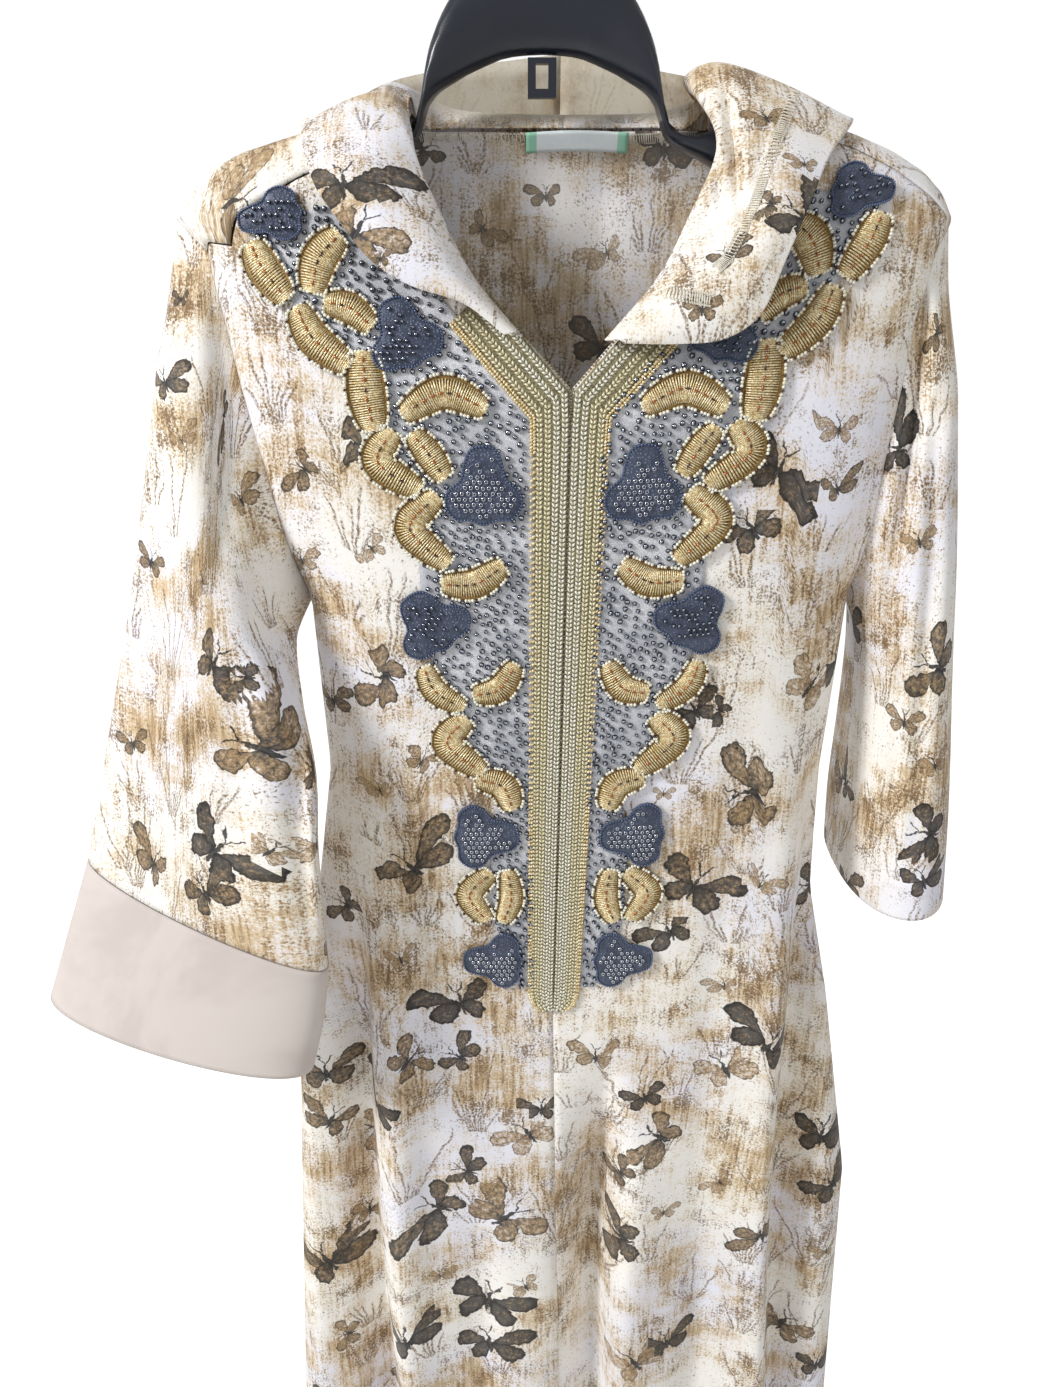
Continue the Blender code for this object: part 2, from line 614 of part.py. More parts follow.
def make_sleeve(name, side, rows, material):
    turn = -1 if side < 0 else 1
    armhole = resample(armhole_loop(side), SLEEVE_AROUND)

    def place(u, v):
        along = 1.0 - v
        angle = 2.0 * math.pi * u
        index = round(u * SLEEVE_AROUND) % SLEEVE_AROUND
        if turn < 0:
            angle = -angle
            index = (-index) % SLEEVE_AROUND
        point = ring_point(rows, angle, along)
        hold = 1.0 - smooth(along / JOIN_SHARE)
        start = armhole[index] + Vector((side * ARMHOLE_GAP, 0.0, 0.0))
        return point + (start - ring_point(rows, angle, 0.0)) * hold

    mesh = grid_mesh(name, SLEEVE_AROUND, SLEEVE_ALONG, place, closed=True)
    sleeve = add_object(name, mesh, material)
    thicken(sleeve, WALL)
    return sleeve


def make_cuff(material):
    def place(u, v):
        return ring_point(CUFF_ROWS, -2.0 * math.pi * u, 1.0 - v)

    mesh = grid_mesh("cuff_right", SLEEVE_AROUND, 3, place, closed=True)
    cuff = add_object("cuff_right", mesh, material)
    thicken(cuff, WALL)
    return cuff


# Hood
HOOD_GRID = (22, 11)


def neck_seam_point(side, station):
    """Where a hood station is sewn to the neck: on the front's edge, or behind the neck."""
    z = station[0]
    rise = station[1]
    if z < SEAM_TOP_Z:
        x = side * (neck_half(z) - 0.0014)
        over = SEAM_GAP * 3
        if z < BRAID_ROWS[-1][1] + 0.012:
            over = BRAID_THICK + OVERLAY_GAP * 2
        elif z > SHOULDER_TURN_Z:
            over = SHOULDER_CLEAR
        return Vector((x, front_y(x, z) - over, z))
    if rise[1] < 0.02:
        return Vector((side * (NECK_HALF - 0.002), 0.002, ridge_z(side, NECK_HALF) + SHOULDER_CLEAR * 1.6))
    drop = RIDGE_R * (1.0 - math.cos(BACK_NECK_ANGLE))
    return Vector((rise[0] * 0.94, BACK_NECK_Y, ridge_z(side, 0.0) - drop + WALL + SEAM_GAP * 3))


def make_hood(name, side, stations, material):
    tracks = []
    for column in range(6):
        track = []
        for station in stations:
            point = neck_seam_point(side, station) if column == 0 else Vector(station[column])
            track.append(point)
        tracks.append(track)

    def place(u, v):
        along = u if side > 0 else 1.0 - u
        across = [spline(track, along) for track in tracks]
        return spline(across, v)

    mesh = grid_mesh(name, HOOD_GRID[0], HOOD_GRID[1], place)
    hood = add_object(name, mesh, material)
    thicken(hood, WALL, inward=True)
    return hood


# Bib: braid, net, bells and petals, each laid on the front's surface
def rise(side, out):
    """The wearer's-left half of the bib hangs higher towards the shoulder."""
    return LEFT_RISE * (out / 0.17) ** 2 if side > 0 else 0.0


def on_front(side, out, z, lift):
    return front_point(side * out, z + rise(side, out), lift)


def make_band(name, side, rows, grid, lift, thickness, material, sway=False):
    """A band between an inner and an outer edge, from its foot up."""
    def place(u, v):
        across = u if side > 0 else 1.0 - u
        inner = polyline([Vector(row[:2]) for row in rows], v)
        outer = polyline([Vector(row[2:]) for row in rows], v)
        out, z = inner.lerp(outer, across)
        if sway:
            return front_point(side * out + centre_x(z), z, lift)
        return on_front(side, out, z, lift)

    mesh = grid_mesh(name, grid[0], grid[1], place)
    band = add_object(name, mesh, material)
    thicken(band, thickness, inward=False)
    return band


def make_bell(name, side, row, material):
    out, z, width, height, turn = row
    half = BELL_OUTLINE
    outline = half + [(-a, b) for a, b in half[-2:0:-1]]
    angle = math.radians(turn)
    lift = OVERLAY_GAP * 2 + NET_THICK

    def corner(a, b, share, crown):
        local_x = a * width * share
        local_z = b * height * share
        far = out + local_x * math.cos(angle) + local_z * math.sin(angle)
        level = z - local_x * math.sin(angle) + local_z * math.cos(angle)
        return on_front(side, far, level, lift + crown)

    bm = bmesh.new()
    rings = []
    for share, crown in ((1.0, 0.0), (0.92, MOTIF_THICK * 0.9)):
        rings.append([bm.verts.new(corner(a, b, share, crown)) for a, b in outline])
    count = len(outline)
    for low, high in zip(rings, rings[1:]):
        for i in range(count):
            j = (i + 1) % count
            bm.faces.new((low[i], low[j], high[j], high[i]))
    for ring, crown in ((rings[0], 0.0), (rings[-1], MOTIF_THICK * 1.1)):
        centre = bm.verts.new(corner(0.0, 0.0, 1.0, crown))
        for i in range(count):
            bm.faces.new((ring[i], ring[(i + 1) % count], centre))
    return finish_patch(name, bm, material)


def make_petal(name, side, row, material):
    start, middle, end, width = row
    lift = OVERLAY_GAP * 2 + NET_THICK
    steps = 6
    ends = [Vector(start), Vector(middle), Vector(end)]

    bm = bmesh.new()
    sections = []
    for i in range(steps + 1):
        t = i / steps
        centre = spline(ends, t)
        ahead = spline(ends, min(1.0, t + 0.02))
        behind = spline(ends, max(0.0, t - 0.02))
        along = (ahead - behind).normalized()
        across = Vector((-along.y, along.x))
        half = width / 2 * (0.36 + 0.64 * math.sin(math.pi * t) ** 0.7)
        section = []
        for share, crown in ((-1, 0.0), (1, 0.0), (0.8, 0.75), (0.0, 1.0), (-0.8, 0.75)):
            spot = centre + across * (half * share)
            section.append(bm.verts.new(on_front(side, spot.x, spot.y, lift + crown * MOTIF_THICK)))
        sections.append(section)
    count = len(sections[0])
    for a, b in zip(sections, sections[1:]):
        for i in range(count):
            j = (i + 1) % count
            bm.faces.new((a[i], a[j], b[j], b[i]))
    bm.faces.new(sections[0][::-1])
    bm.faces.new(sections[-1])
    return finish_patch(name, bm, material)


def finish_patch(name, bm, material):
    for vert in bm.verts:
        vert.co.x += SHIFT_X
    bmesh.ops.triangulate(bm, faces=bm.faces)
    bmesh.ops.recalc_face_normals(bm, faces=bm.faces)
    mesh = bpy.data.meshes.new(name)
    bm.to_mesh(mesh)
    bm.free()
    mesh.shade_smooth()
    return add_object(name, mesh, material)


# Neck label, inside the back neck
def make_label(material):
    width, depth = LABEL_SIZE

    def place(u, v):
        x = LABEL_X + (0.5 - u) * width
        angle = BACK_NECK_ANGLE + (1.0 - v) * depth / LABEL_Y
        z = ridge_z(1, 0.0) - RIDGE_R * (1.0 - math.cos(angle))
        y = LABEL_Y * math.sin(angle) - WALL - SEAM_GAP * 2
        return (x, y, z - LABEL_UNDER)

    mesh = grid_mesh("neck_label", 6, 2, place)
    label = add_object("neck_label", mesh, material)
    thicken(label, 0.0010)
    return label


# Hanger
def make_hanger(material):
    """Moulded arms: an oval section swept out along each shoulder."""
    columns = [-row[0] for row in HANGER_ROWS[::-1]] + [row[0] for row in HANGER_ROWS[1:]]
    around = 12

    bm = bmesh.new()
    sections = []
    for out in columns:
        top = read_row(HANGER_ROWS, abs(out), 1)
        under = read_row(HANGER_ROWS, abs(out), 2)
        half = read_row(HANGER_ROWS, abs(out), 3)
        section = []
        for i in range(around):
            angle = 2.0 * math.pi * i / around
            y = -half * math.copysign(abs(math.sin(angle)) ** 0.7, math.sin(angle))
            z = (top + under) / 2 + (top - under) / 2 * math.cos(angle)
            section.append(bm.verts.new((out, y, z)))
        sections.append(section)
    for a, b in zip(sections, sections[1:]):
        for i in range(around):
            j = (i + 1) % around
            bm.faces.new((a[i], a[j], b[j], b[i]))
    bm.faces.new(sections[0][::-1])
    bm.faces.new(sections[-1])
    bmesh.ops.triangulate(bm, faces=bm.faces)
    bmesh.ops.recalc_face_normals(bm, faces=bm.faces)
    mesh = bpy.data.meshes.new("hanger_body")
    bm.to_mesh(mesh)
    bm.free()
    mesh.shade_smooth()
    return add_object("hanger_body", mesh, material)


def make_loop(material):
    """The small square loop under the hanger's middle."""
    width = 0.016
    height = 0.020
    bar = 0.0045
    top = -0.1228
    outer_half = width / 2
    inner_half = outer_half - bar

    curve = bpy.data.curves.new("hanger_loop", "CURVE")
    curve.dimensions = "2D"
    curve.fill_mode = "BOTH"
    curve.extrude = 0.003
    for half, low, high in ((outer_half, top - height, top), (inner_half, top - height + bar, top - 0.003)):
        line = curve.splines.new("POLY")
        line.points.add(3)
        line.use_cyclic_u = True
        corners = ((-half, low), (half, low), (half, high), (-half, high))
        for point, corner in zip(line.points, corners):
            point.co = (corner[0], corner[1], 0.0, 1.0)
    source = bpy.data.objects.new("hanger_loop_outline", curve)
    parts.objects.link(source)
    source.rotation_euler = (math.pi / 2, 0.0, 0.0)
    return make_mesh_of(source, "hanger_loop", material)


def make_mesh_of(source, name, material):
    bpy.context.view_layer.update()
    graph = bpy.context.evaluated_depsgraph_get()
    mesh = bpy.data.meshes.new_from_object(source.evaluated_get(graph))
    mesh.name = name
    bm = bmesh.new()
    bm.from_mesh(mesh)
    bmesh.ops.remove_doubles(bm, verts=bm.verts, dist=0.00001)
    bmesh.ops.recalc_face_normals(bm, faces=bm.faces)
    bm.to_mesh(mesh)
    bm.free()
    place = source.matrix_world.copy()
    bpy.data.objects.remove(source, do_unlink=True)
    mesh.materials.clear()
    thing = add_object(name, mesh, material)
    thing.matrix_world = place
    return thing


def make_hook(material):
    """Wire hook: a straight stem, then a bend that opens to one side."""
    foot = HANGER_ROWS[0][1] + HOOK_SINK
    points = []
    centre = Vector((0.0, 0.0, HOOK_WIRE - HOOK_RADIUS))
    first, sweep = (math.radians(angle) for angle in HOOK_TURN)
    points.append(Vector((0.0, 0.0, foot)))
    points.append(Vector((0.0, 0.0, foot + HOOK_STEM)))
    steps = 16
    for i in range(steps + 1):
        angle = first - sweep * i / steps
        points.append(centre + Vector((-HOOK_RADIUS * math.sin(angle), 0.0, HOOK_RADIUS * math.cos(angle))))
    curve = bpy.data.curves.new("hanger_hook", "CURVE")
    curve.dimensions = "3D"
    curve.bevel_depth = HOOK_WIRE
    curve.bevel_resolution = 2
    curve.use_fill_caps = True
    line = curve.splines.new("POLY")
    line.points.add(len(points) - 1)
    for target, point in zip(line.points, points):
        target.co = (*point, 1.0)
    source = bpy.data.objects.new("hanger_hook_wire", curve)
    parts.objects.link(source)
    return make_mesh_of(source, "hanger_hook", material)


for old in list(bpy.data.objects):
    bpy.data.objects.remove(old, do_unlink=True)

parts = bpy.data.collections.new("hooded_kaftan")
bpy.context.scene.collection.children.link(parts)

PRINT = make_material("printed_crepe", (0.86, 0.80, 0.71), 0.78)
PLAIN = make_material("plain_facing", (0.69, 0.61, 0.57), 0.72)
GOLD = make_material("gold_bullion", (0.60, 0.43, 0.17), 0.40, 0.8)
BRAID = make_material("gold_braid", (0.62, 0.53, 0.32), 0.50, 0.5)
BLUE = make_material("blue_beads", (0.06, 0.08, 0.14), 0.35)
NET = make_material("beaded_net", (0.42, 0.43, 0.50), 0.60)
LABEL = make_material("label_satin", (0.60, 0.82, 0.76), 0.50)
MOULDED = make_material("moulded_plastic", (0.02, 0.022, 0.028), 0.35)

make_front(1, PRINT)
make_front(-1, PRINT)
make_back(PRINT)
make_sleeve("sleeve_right", -1, SLEEVE_RIGHT_ROWS, PRINT)
make_sleeve("sleeve_left", 1, SLEEVE_LEFT_ROWS, PRINT)
make_cuff(PLAIN)
make_hood("hood_right", -1, HOOD_RIGHT_STATIONS, PRINT)
make_hood("hood_left", 1, HOOD_LEFT_STATIONS, PRINT)
make_label(LABEL)
make_hanger(MOULDED)
make_loop(MOULDED)
make_hook(MOULDED)

for side, word in ((1, "left"), (-1, "right")):
    make_band("braid_" + word, side, BRAID_ROWS, (2, 3 * (len(BRAID_ROWS) - 1)), OVERLAY_GAP, BRAID_THICK, BRAID, sway=True)
    make_band("net_" + word, side, NET_ROWS, (5, 2 * (len(NET_ROWS) - 1)), OVERLAY_GAP, NET_THICK, NET)
    for number, row in enumerate(BELLS, 1):
        make_bell(f"bell_{word}_{number}", side, row, BLUE)
    for number, row in enumerate(PETALS, 1):
        make_petal(f"petal_{word}_{number:02d}", side, row, GOLD)
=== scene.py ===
# %% [markdown]
# Hooded kaftan on a moulded hanger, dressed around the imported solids.
# Metres, +Z up, the front faces -Y. The origin is the seat inside the hanger's hook.

# %% Frame and helpers
import math
import random

import bmesh
import bpy
import numpy as np
from mathutils import Matrix, Vector


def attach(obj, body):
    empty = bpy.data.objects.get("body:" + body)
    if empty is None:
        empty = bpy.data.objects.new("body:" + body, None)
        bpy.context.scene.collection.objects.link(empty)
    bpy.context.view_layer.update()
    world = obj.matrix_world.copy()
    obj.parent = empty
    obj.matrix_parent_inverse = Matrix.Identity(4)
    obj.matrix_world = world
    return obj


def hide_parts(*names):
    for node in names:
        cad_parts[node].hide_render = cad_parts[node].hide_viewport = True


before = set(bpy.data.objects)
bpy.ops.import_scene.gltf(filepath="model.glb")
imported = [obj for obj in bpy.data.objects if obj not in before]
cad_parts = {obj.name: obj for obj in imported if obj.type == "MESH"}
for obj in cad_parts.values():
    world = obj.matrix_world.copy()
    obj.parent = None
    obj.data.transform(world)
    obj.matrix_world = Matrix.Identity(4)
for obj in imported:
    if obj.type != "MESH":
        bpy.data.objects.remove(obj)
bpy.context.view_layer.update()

# %% [markdown]
# Driving sizes, the same as the solids have, so that each piece of cloth lies where its solid is.

# %% Sizes
WALL = 0.0011            # the cloth that is drawn, inside its solid's wall
CENTRE_GAP = 0.0001
SHOULDER_GAP = 0.0012
EDGE_SET_BACK = 0.0011
SHIFT_X = 0.013
HEM_Z = -1.6
UNDERARM_Z = -0.432
SEAM_TOP_Z = -0.165
NECK_HALF = 0.09
V_BOTTOM_Z = -0.297
SHOULDER_HALF = 0.226
RIDGE_R = 0.045
ARMHOLE_OPEN = 0.014
ARMHOLE_GAP = -0.0006
SHOULDER_CLEAR = 0.0045
SHOULDER_TURN_Z = -0.185
BACK_NECK_Y = 0.021
SEAM_GAP = 0.0004
NET_THICK = 0.001
MOTIF_THICK = 0.002
BRAID_THICK = 0.0022
OVERLAY_GAP = 0.0007
KNEE = 20 / 30
BACK_OVER = 6 / 26
BACK_NECK_ANGLE = math.radians(34)
BACK_COLUMNS = 30
NECK_OUTS = (0.0, 0.03, 0.06, 0.083, 0.0865, NECK_HALF)
JOIN_SHARE = 0.22

# Silhouette of the body below the shoulders: side edges and how deep front and back stand
# columns: z, left, right, front, back
BODY_ROWS = [
    (-0.205, 0.226, 0.226, 0.034, 0.034),
    (-0.224, 0.205, 0.214, 0.038, 0.035),
    (-0.26, 0.197, 0.204, 0.045, 0.038),
    (-0.297, 0.19, 0.2, 0.05, 0.04),
    (-0.34, 0.181, 0.195, 0.05, 0.04),
    (-0.432, 0.162, 0.187, 0.05, 0.04),
    (-0.55, 0.157, 0.181, 0.05, 0.04),
    (-0.65, 0.172, 0.184, 0.05, 0.042),
    (-0.74, 0.192, 0.204, 0.05, 0.046),
    (-0.9, 0.202, 0.232, 0.05, 0.05),
    (-1.16, 0.217, 0.241, 0.05, 0.055),
    (-1.6, 0.245, 0.262, 0.052, 0.062),
]

# The shoulder's ridge, the highest line of the cloth, outwards from the neck
# columns: out, left z, right z
RIDGE_ROWS = [
    (0.0, -0.15, -0.15),
    (0.09, -0.15, -0.149),
    (0.14, -0.158, -0.155),
    (0.162, -0.164, -0.16),
    (0.186, -0.171, -0.169),
    (0.206, -0.181, -0.18),
    (0.218, -0.192, -0.191),
    (0.226, -0.205, -0.205),
]

# How far below the ridge the shoulder seam lies, on the front
# columns: out, left drop, right drop
SEAM_ROWS = [
    (0.088, 0.018, 0.012),
    (0.15, 0.026, 0.01),
    (0.205, 0.041, 0.014),
    (0.226, 0.019, 0.012),
]

# Neckline of the front, from the foot of the V to the shoulder
# columns: z, half
NECK_ROWS = [
    (-0.297, 0.0003),
    (-0.268, 0.027),
    (-0.244, 0.049),
    (-0.228, 0.06),
    (-0.197, 0.075),
    (-0.168, 0.088),
]

# Sway of the centre front
# columns: z, x
CENTRE_ROWS = [
    (-0.297, 0.004),
    (-0.55, 0.0),
    (-0.722, -0.003),
    (-0.92, 0.001),
    (-1.11, 0.006),
    (-1.6, 0.008),
]

# Hanging folds: x at the top and at the hem, where each starts, how far it spreads to the wearer's
# right and left of its foot, and its depth. The steep side stands under the next panel's ridge.
# columns: x top, x hem, z top, spread right, spread left, depth
FRONT_FOLDS = [
    (-0.143, -0.132, -0.6, 0.024, 0.006, 0.046),
    (-0.124, -0.1, -0.64, 0.008, 0.022, -0.013),
    (0.036, 0.044, -0.745, 0.022, 0.006, 0.038),
    (0.056, 0.066, -0.76, 0.009, 0.024, -0.012),
    (0.166, 0.2, -0.47, 0.006, 0.022, 0.038),
    (0.15, 0.184, -0.47, 0.016, 0.007, -0.01),
    (-0.064, -0.046, -0.85, 0.02, 0.014, 0.009),
    (0.112, 0.126, -0.9, 0.014, 0.026, 0.01),
    (-0.172, -0.196, -0.7, 0.012, 0.012, 0.008),
    (-0.112, -0.07, -0.43, 0.01, 0.014, 0.003),
    (0.12, 0.1, -0.42, 0.012, 0.01, 0.003),
]
BACK_FOLDS = [
    (-0.12, -0.15, -0.45, 0.018, 0.026, 0.022),
    (-0.04, -0.052, -0.52, 0.026, 0.018, 0.018),
    (0.05, 0.058, -0.5, 0.018, 0.028, 0.02),
    (0.13, 0.162, -0.46, 0.026, 0.018, 0.022),
    (0.004, 0.006, -0.34, 0.004, 0.004, 0.002),
]

# Sleeves: the outer and inner edge of each ring, and its half depth, from armhole to hem
# columns: outer, inner, half depth
SLEEVE_RIGHT_ROWS = [
    ((-0.227, -0.002, -0.215), (-0.163, -0.004, -0.432), 0.04),
    ((-0.239, -0.012, -0.275), (-0.169, -0.032, -0.456), 0.036),
    ((-0.252, -0.024, -0.345), (-0.16, -0.068, -0.486), 0.03),
    ((-0.268, -0.032, -0.42), (-0.151, -0.086, -0.525), 0.027),
    ((-0.288, -0.04, -0.5), (-0.151, -0.095, -0.575), 0.026),
    ((-0.315, -0.045, -0.6), (-0.149, -0.1, -0.65), 0.026),
]
CUFF_ROWS = [
    ((-0.3155, -0.045, -0.601), (-0.1487, -0.1, -0.651), 0.0262),
    ((-0.336, -0.045, -0.655), (-0.154, -0.1, -0.69), 0.03),
    ((-0.356, -0.045, -0.708), (-0.163, -0.1, -0.728), 0.034),
]
SLEEVE_LEFT_ROWS = [
    ((0.228, -0.001, -0.215), (0.189, 0.0, -0.436), 0.042),
    ((0.238, 0.008, -0.285), (0.197, 0.006, -0.456), 0.052),
    ((0.251, 0.018, -0.38), (0.204, 0.014, -0.5), 0.066),
    ((0.261, 0.026, -0.47), (0.207, 0.022, -0.555), 0.076),
    ((0.271, 0.03, -0.56), (0.208, 0.028, -0.608), 0.084),
    ((0.277, 0.03, -0.64), (0.21, 0.03, -0.65), 0.086),
]

# The hood, by stations from its tip on the chest, over the shoulder, to the centre back.
# Each has the level of the neck seam and five places across: where it rises, where it
# rolls over, the middle, the outer part and the free edge of the face opening.
# columns: seam z, rise, roll, middle, outer, edge
HOOD_RIGHT_STATIONS = [
    (-0.269, (-0.0265, -0.057, -0.268), (-0.028, -0.059, -0.267),
     (-0.03, -0.06, -0.2665), (-0.032, -0.06, -0.2665), (-0.034, -0.0598, -0.267)),
    (-0.254, (-0.04, -0.055, -0.254), (-0.041, -0.0575, -0.253),
     (-0.0447, -0.062, -0.2525), (-0.0503, -0.064, -0.2515), (-0.056, -0.063, -0.25)),
    (-0.238, (-0.052, -0.052, -0.239), (-0.053, -0.055, -0.238),
     (-0.0605, -0.064, -0.2385), (-0.0725, -0.0665, -0.239), (-0.0853, -0.065, -0.241)),
    (-0.22, (-0.063, -0.047, -0.221), (-0.064, -0.051, -0.219),
     (-0.074, -0.062, -0.22), (-0.089, -0.066, -0.2235), (-0.1058, -0.064, -0.2285)),
    (-0.196, (-0.0765, -0.0395, -0.194), (-0.078, -0.042, -0.19),
     (-0.09, -0.053, -0.195), (-0.106, -0.06, -0.201), (-0.1231, -0.059, -0.208)),
    (-0.176, (-0.085, -0.034, -0.169), (-0.09, -0.032, -0.16),
     (-0.104, -0.04, -0.165), (-0.1215, -0.047, -0.176), (-0.1372, -0.048, -0.1875)),
    (-0.16, (-0.09, 0.006, -0.143), (-0.101, 0.005, -0.138),
     (-0.116, -0.004, -0.144), (-0.132, -0.012, -0.151), (-0.146, -0.016, -0.158)),
    (-0.158, (-0.088, 0.03, -0.135), (-0.105, 0.042, -0.14),
     (-0.118, 0.054, -0.185), (-0.132, 0.058, -0.178), (-0.139, 0.042, -0.146)),
    (-0.158, (-0.06, 0.044, -0.148), (-0.077, 0.056, -0.21),
     (-0.095, 0.072, -0.315), (-0.106, 0.092, -0.245), (-0.1, 0.082, -0.12)),
    (-0.158, (-0.0012, 0.046, -0.156), (-0.0012, 0.058, -0.27),
     (-0.0012, 0.078, -0.415), (-0.0012, 0.104, -0.29), (-0.0012, 0.093, -0.105)),
]
HOOD_LEFT_STATIONS = [
    (-0.271, (0.0265, -0.057, -0.2705), (0.028, -0.059, -0.27),
     (0.03, -0.06, -0.2702), (0.032, -0.06, -0.2706), (0.034, -0.0598, -0.2712)),
    (-0.258, (0.038, -0.0555, -0.2585), (0.039, -0.058, -0.258),
     (0.045, -0.062, -0.261), (0.053, -0.064, -0.267), (0.062, -0.063, -0.2715)),
    (-0.243, (0.05, -0.053, -0.245), (0.051, -0.056, -0.244),
     (0.061, -0.064, -0.248), (0.074, -0.067, -0.259), (0.087, -0.065, -0.269)),
    (-0.228, (0.061, -0.049, -0.23), (0.062, -0.052, -0.228),
     (0.076, -0.063, -0.233), (0.092, -0.068, -0.245), (0.106, -0.065, -0.256)),
    (-0.212, (0.07, -0.042, -0.212), (0.078, -0.044, -0.21),
     (0.09, -0.057, -0.213), (0.105, -0.065, -0.22), (0.118, -0.063, -0.228)),
    (-0.192, (0.078, -0.039, -0.19), (0.086, -0.042, -0.187),
     (0.099, -0.049, -0.187), (0.116, -0.056, -0.193), (0.13, -0.055, -0.201)),
    (-0.174, (0.083, -0.034, -0.167), (0.082, -0.033, -0.159),
     (0.096, -0.033, -0.154), (0.122, -0.036, -0.164), (0.143, -0.037, -0.176)),
    (-0.16, (0.082, 0.006, -0.144), (0.068, 0.006, -0.133),
     (0.086, 0.006, -0.127), (0.126, 0.002, -0.138), (0.162, -0.006, -0.155)),
    (-0.158, (0.078, 0.03, -0.14), (0.088, 0.044, -0.16),
     (0.114, 0.056, -0.195), (0.142, 0.06, -0.18), (0.16, 0.042, -0.15)),
    (-0.158, (0.056, 0.044, -0.15), (0.074, 0.056, -0.22),
     (0.092, 0.072, -0.32), (0.104, 0.092, -0.245), (0.104, 0.082, -0.124)),
    (-0.158, (0.0012, 0.046, -0.156), (0.0012, 0.058, -0.27),
     (0.0012, 0.078, -0.415), (0.0012, 0.104, -0.29), (0.0012, 0.093, -0.105)),
]

# Braid: its inner and outer edge, out from the centre front, from the foot to the lapel
# columns: inner out, inner z, outer out, outer z
BRAID_ROWS = [
    (0.0006, -0.722, 0.008, -0.7215),
    (0.0006, -0.717, 0.013, -0.7165),
    (0.0006, -0.706, 0.0155, -0.706),
    (0.0006, -0.55, 0.0175, -0.55),
    (0.0006, -0.315, 0.02, -0.33),
    (0.0016, -0.2985, 0.0205, -0.312),
    (0.028, -0.269, 0.045, -0.285),
    (0.05, -0.245, 0.067, -0.26),
]

# Net of the bib: inner and outer edge, out from the centre front
# columns: inner out, inner z, outer out, outer z
NET_ROWS = [
    (0.0195, -0.702, 0.026, -0.702),
    (0.0205, -0.655, 0.044, -0.65),
    (0.021, -0.6, 0.046, -0.6),
    (0.022, -0.55, 0.04, -0.548),
    (0.0225, -0.51, 0.066, -0.512),
    (0.023, -0.46, 0.082, -0.458),
    (0.024, -0.415, 0.086, -0.415),
    (0.0255, -0.37, 0.088, -0.372),
    (0.028, -0.338, 0.099, -0.338),
    (0.046, -0.292, 0.112, -0.299),
    (0.056, -0.264, 0.124, -0.28),
    (0.074, -0.242, 0.15, -0.256),
    (0.102, -0.214, 0.166, -0.232),
    (0.128, -0.198, 0.176, -0.213),
]

# Blue bead motifs, bell shaped: place, size and where the bell's neck points,
# in degrees from up, outwards
# columns: out, z, width, height, turn
BELLS = [
    (0.163, -0.206, 0.026, 0.036, 100),
    (0.091, -0.268, 0.04, 0.038, 20),
    (0.047, -0.353, 0.044, 0.046, 0),
    (0.081, -0.436, 0.045, 0.04, 35),
    (0.049, -0.583, 0.044, 0.042, -90),
    (0.044, -0.679, 0.041, 0.04, 90),
]
# Half of a bell's outline in widths and heights, from its neck round to its foot
BELL_OUTLINE = [
    (0.0, 0.5), (0.16, 0.46), (0.24, 0.3), (0.29, 0.1),
    (0.45, -0.03), (0.49, -0.22), (0.36, -0.39), (0.17, -0.4), (0.0, -0.46),
]

# Gold petals: start, middle and end, out from the centre front, and their width
# columns: start, middle, end, width
PETALS = [
    ((0.174, -0.222), (0.169, -0.233), (0.158, -0.247), 0.016),
    ((0.141, -0.243), (0.137, -0.228), (0.127, -0.218), 0.017),
    ((0.149, -0.256), (0.142, -0.27), (0.125, -0.283), 0.016),
    ((0.132, -0.252), (0.121, -0.254), (0.111, -0.262), 0.013),
    ((0.114, -0.28), (0.113, -0.299), (0.11, -0.317), 0.019),
    ((0.09, -0.31), (0.069, -0.299), (0.048, -0.307), 0.015),
    ((0.1, -0.323), (0.108, -0.338), (0.087, -0.353), 0.016),
    ((0.086, -0.324), (0.078, -0.334), (0.071, -0.345), 0.013),
    ((0.076, -0.36), (0.091, -0.377), (0.071, -0.397), 0.016),
    ((0.07, -0.411), (0.053, -0.411), (0.038, -0.401), 0.015),
    ((0.084, -0.467), (0.079, -0.48), (0.064, -0.49), 0.013),
    ((0.052, -0.482), (0.039, -0.479), (0.03, -0.465), 0.014),
    ((0.061, -0.501), (0.072, -0.516), (0.052, -0.534), 0.017),
    ((0.051, -0.542), (0.037, -0.546), (0.032, -0.56), 0.016),
    ((0.047, -0.612), (0.06, -0.627), (0.05, -0.644), 0.015),
    ((0.034, -0.611), (0.032, -0.63), (0.037, -0.645), 0.013),
]
LEFT_RISE = 0.014        # the bib's wearer's-left half hangs this much higher at the shoulder


# %% [markdown]
# Shapes of the cloth, as functions of these sizes

# %% Cloth shapes
def smooth(t):
    t = min(1.0, max(0.0, t))
    return t * t * (3.0 - 2.0 * t)


def read_row(rows, key, column):
    """Value in a column at a key, from rows whose first column rises or falls evenly."""
    ordered = rows if rows[0][0] < rows[-1][0] else rows[::-1]
    if key <= ordered[0][0]:
        return ordered[0][column]
    for low, high in zip(ordered, ordered[1:]):
        if key <= high[0]:
            t = (key - low[0]) / (high[0] - low[0])
            return low[column] + (high[column] - low[column]) * t
    return ordered[-1][column]


def smooth_run(p0, p1, p2, p3, f):
    """Smooth run from p1 to p2, led by the points around them, f from 0 to 1."""
    return 0.5 * ((2 * p1) + (p2 - p0) * f + (2 * p0 - 5 * p1 + 4 * p2 - p3) * f * f
                  + (3 * p1 - p0 - 3 * p2 + p3) * f * f * f)


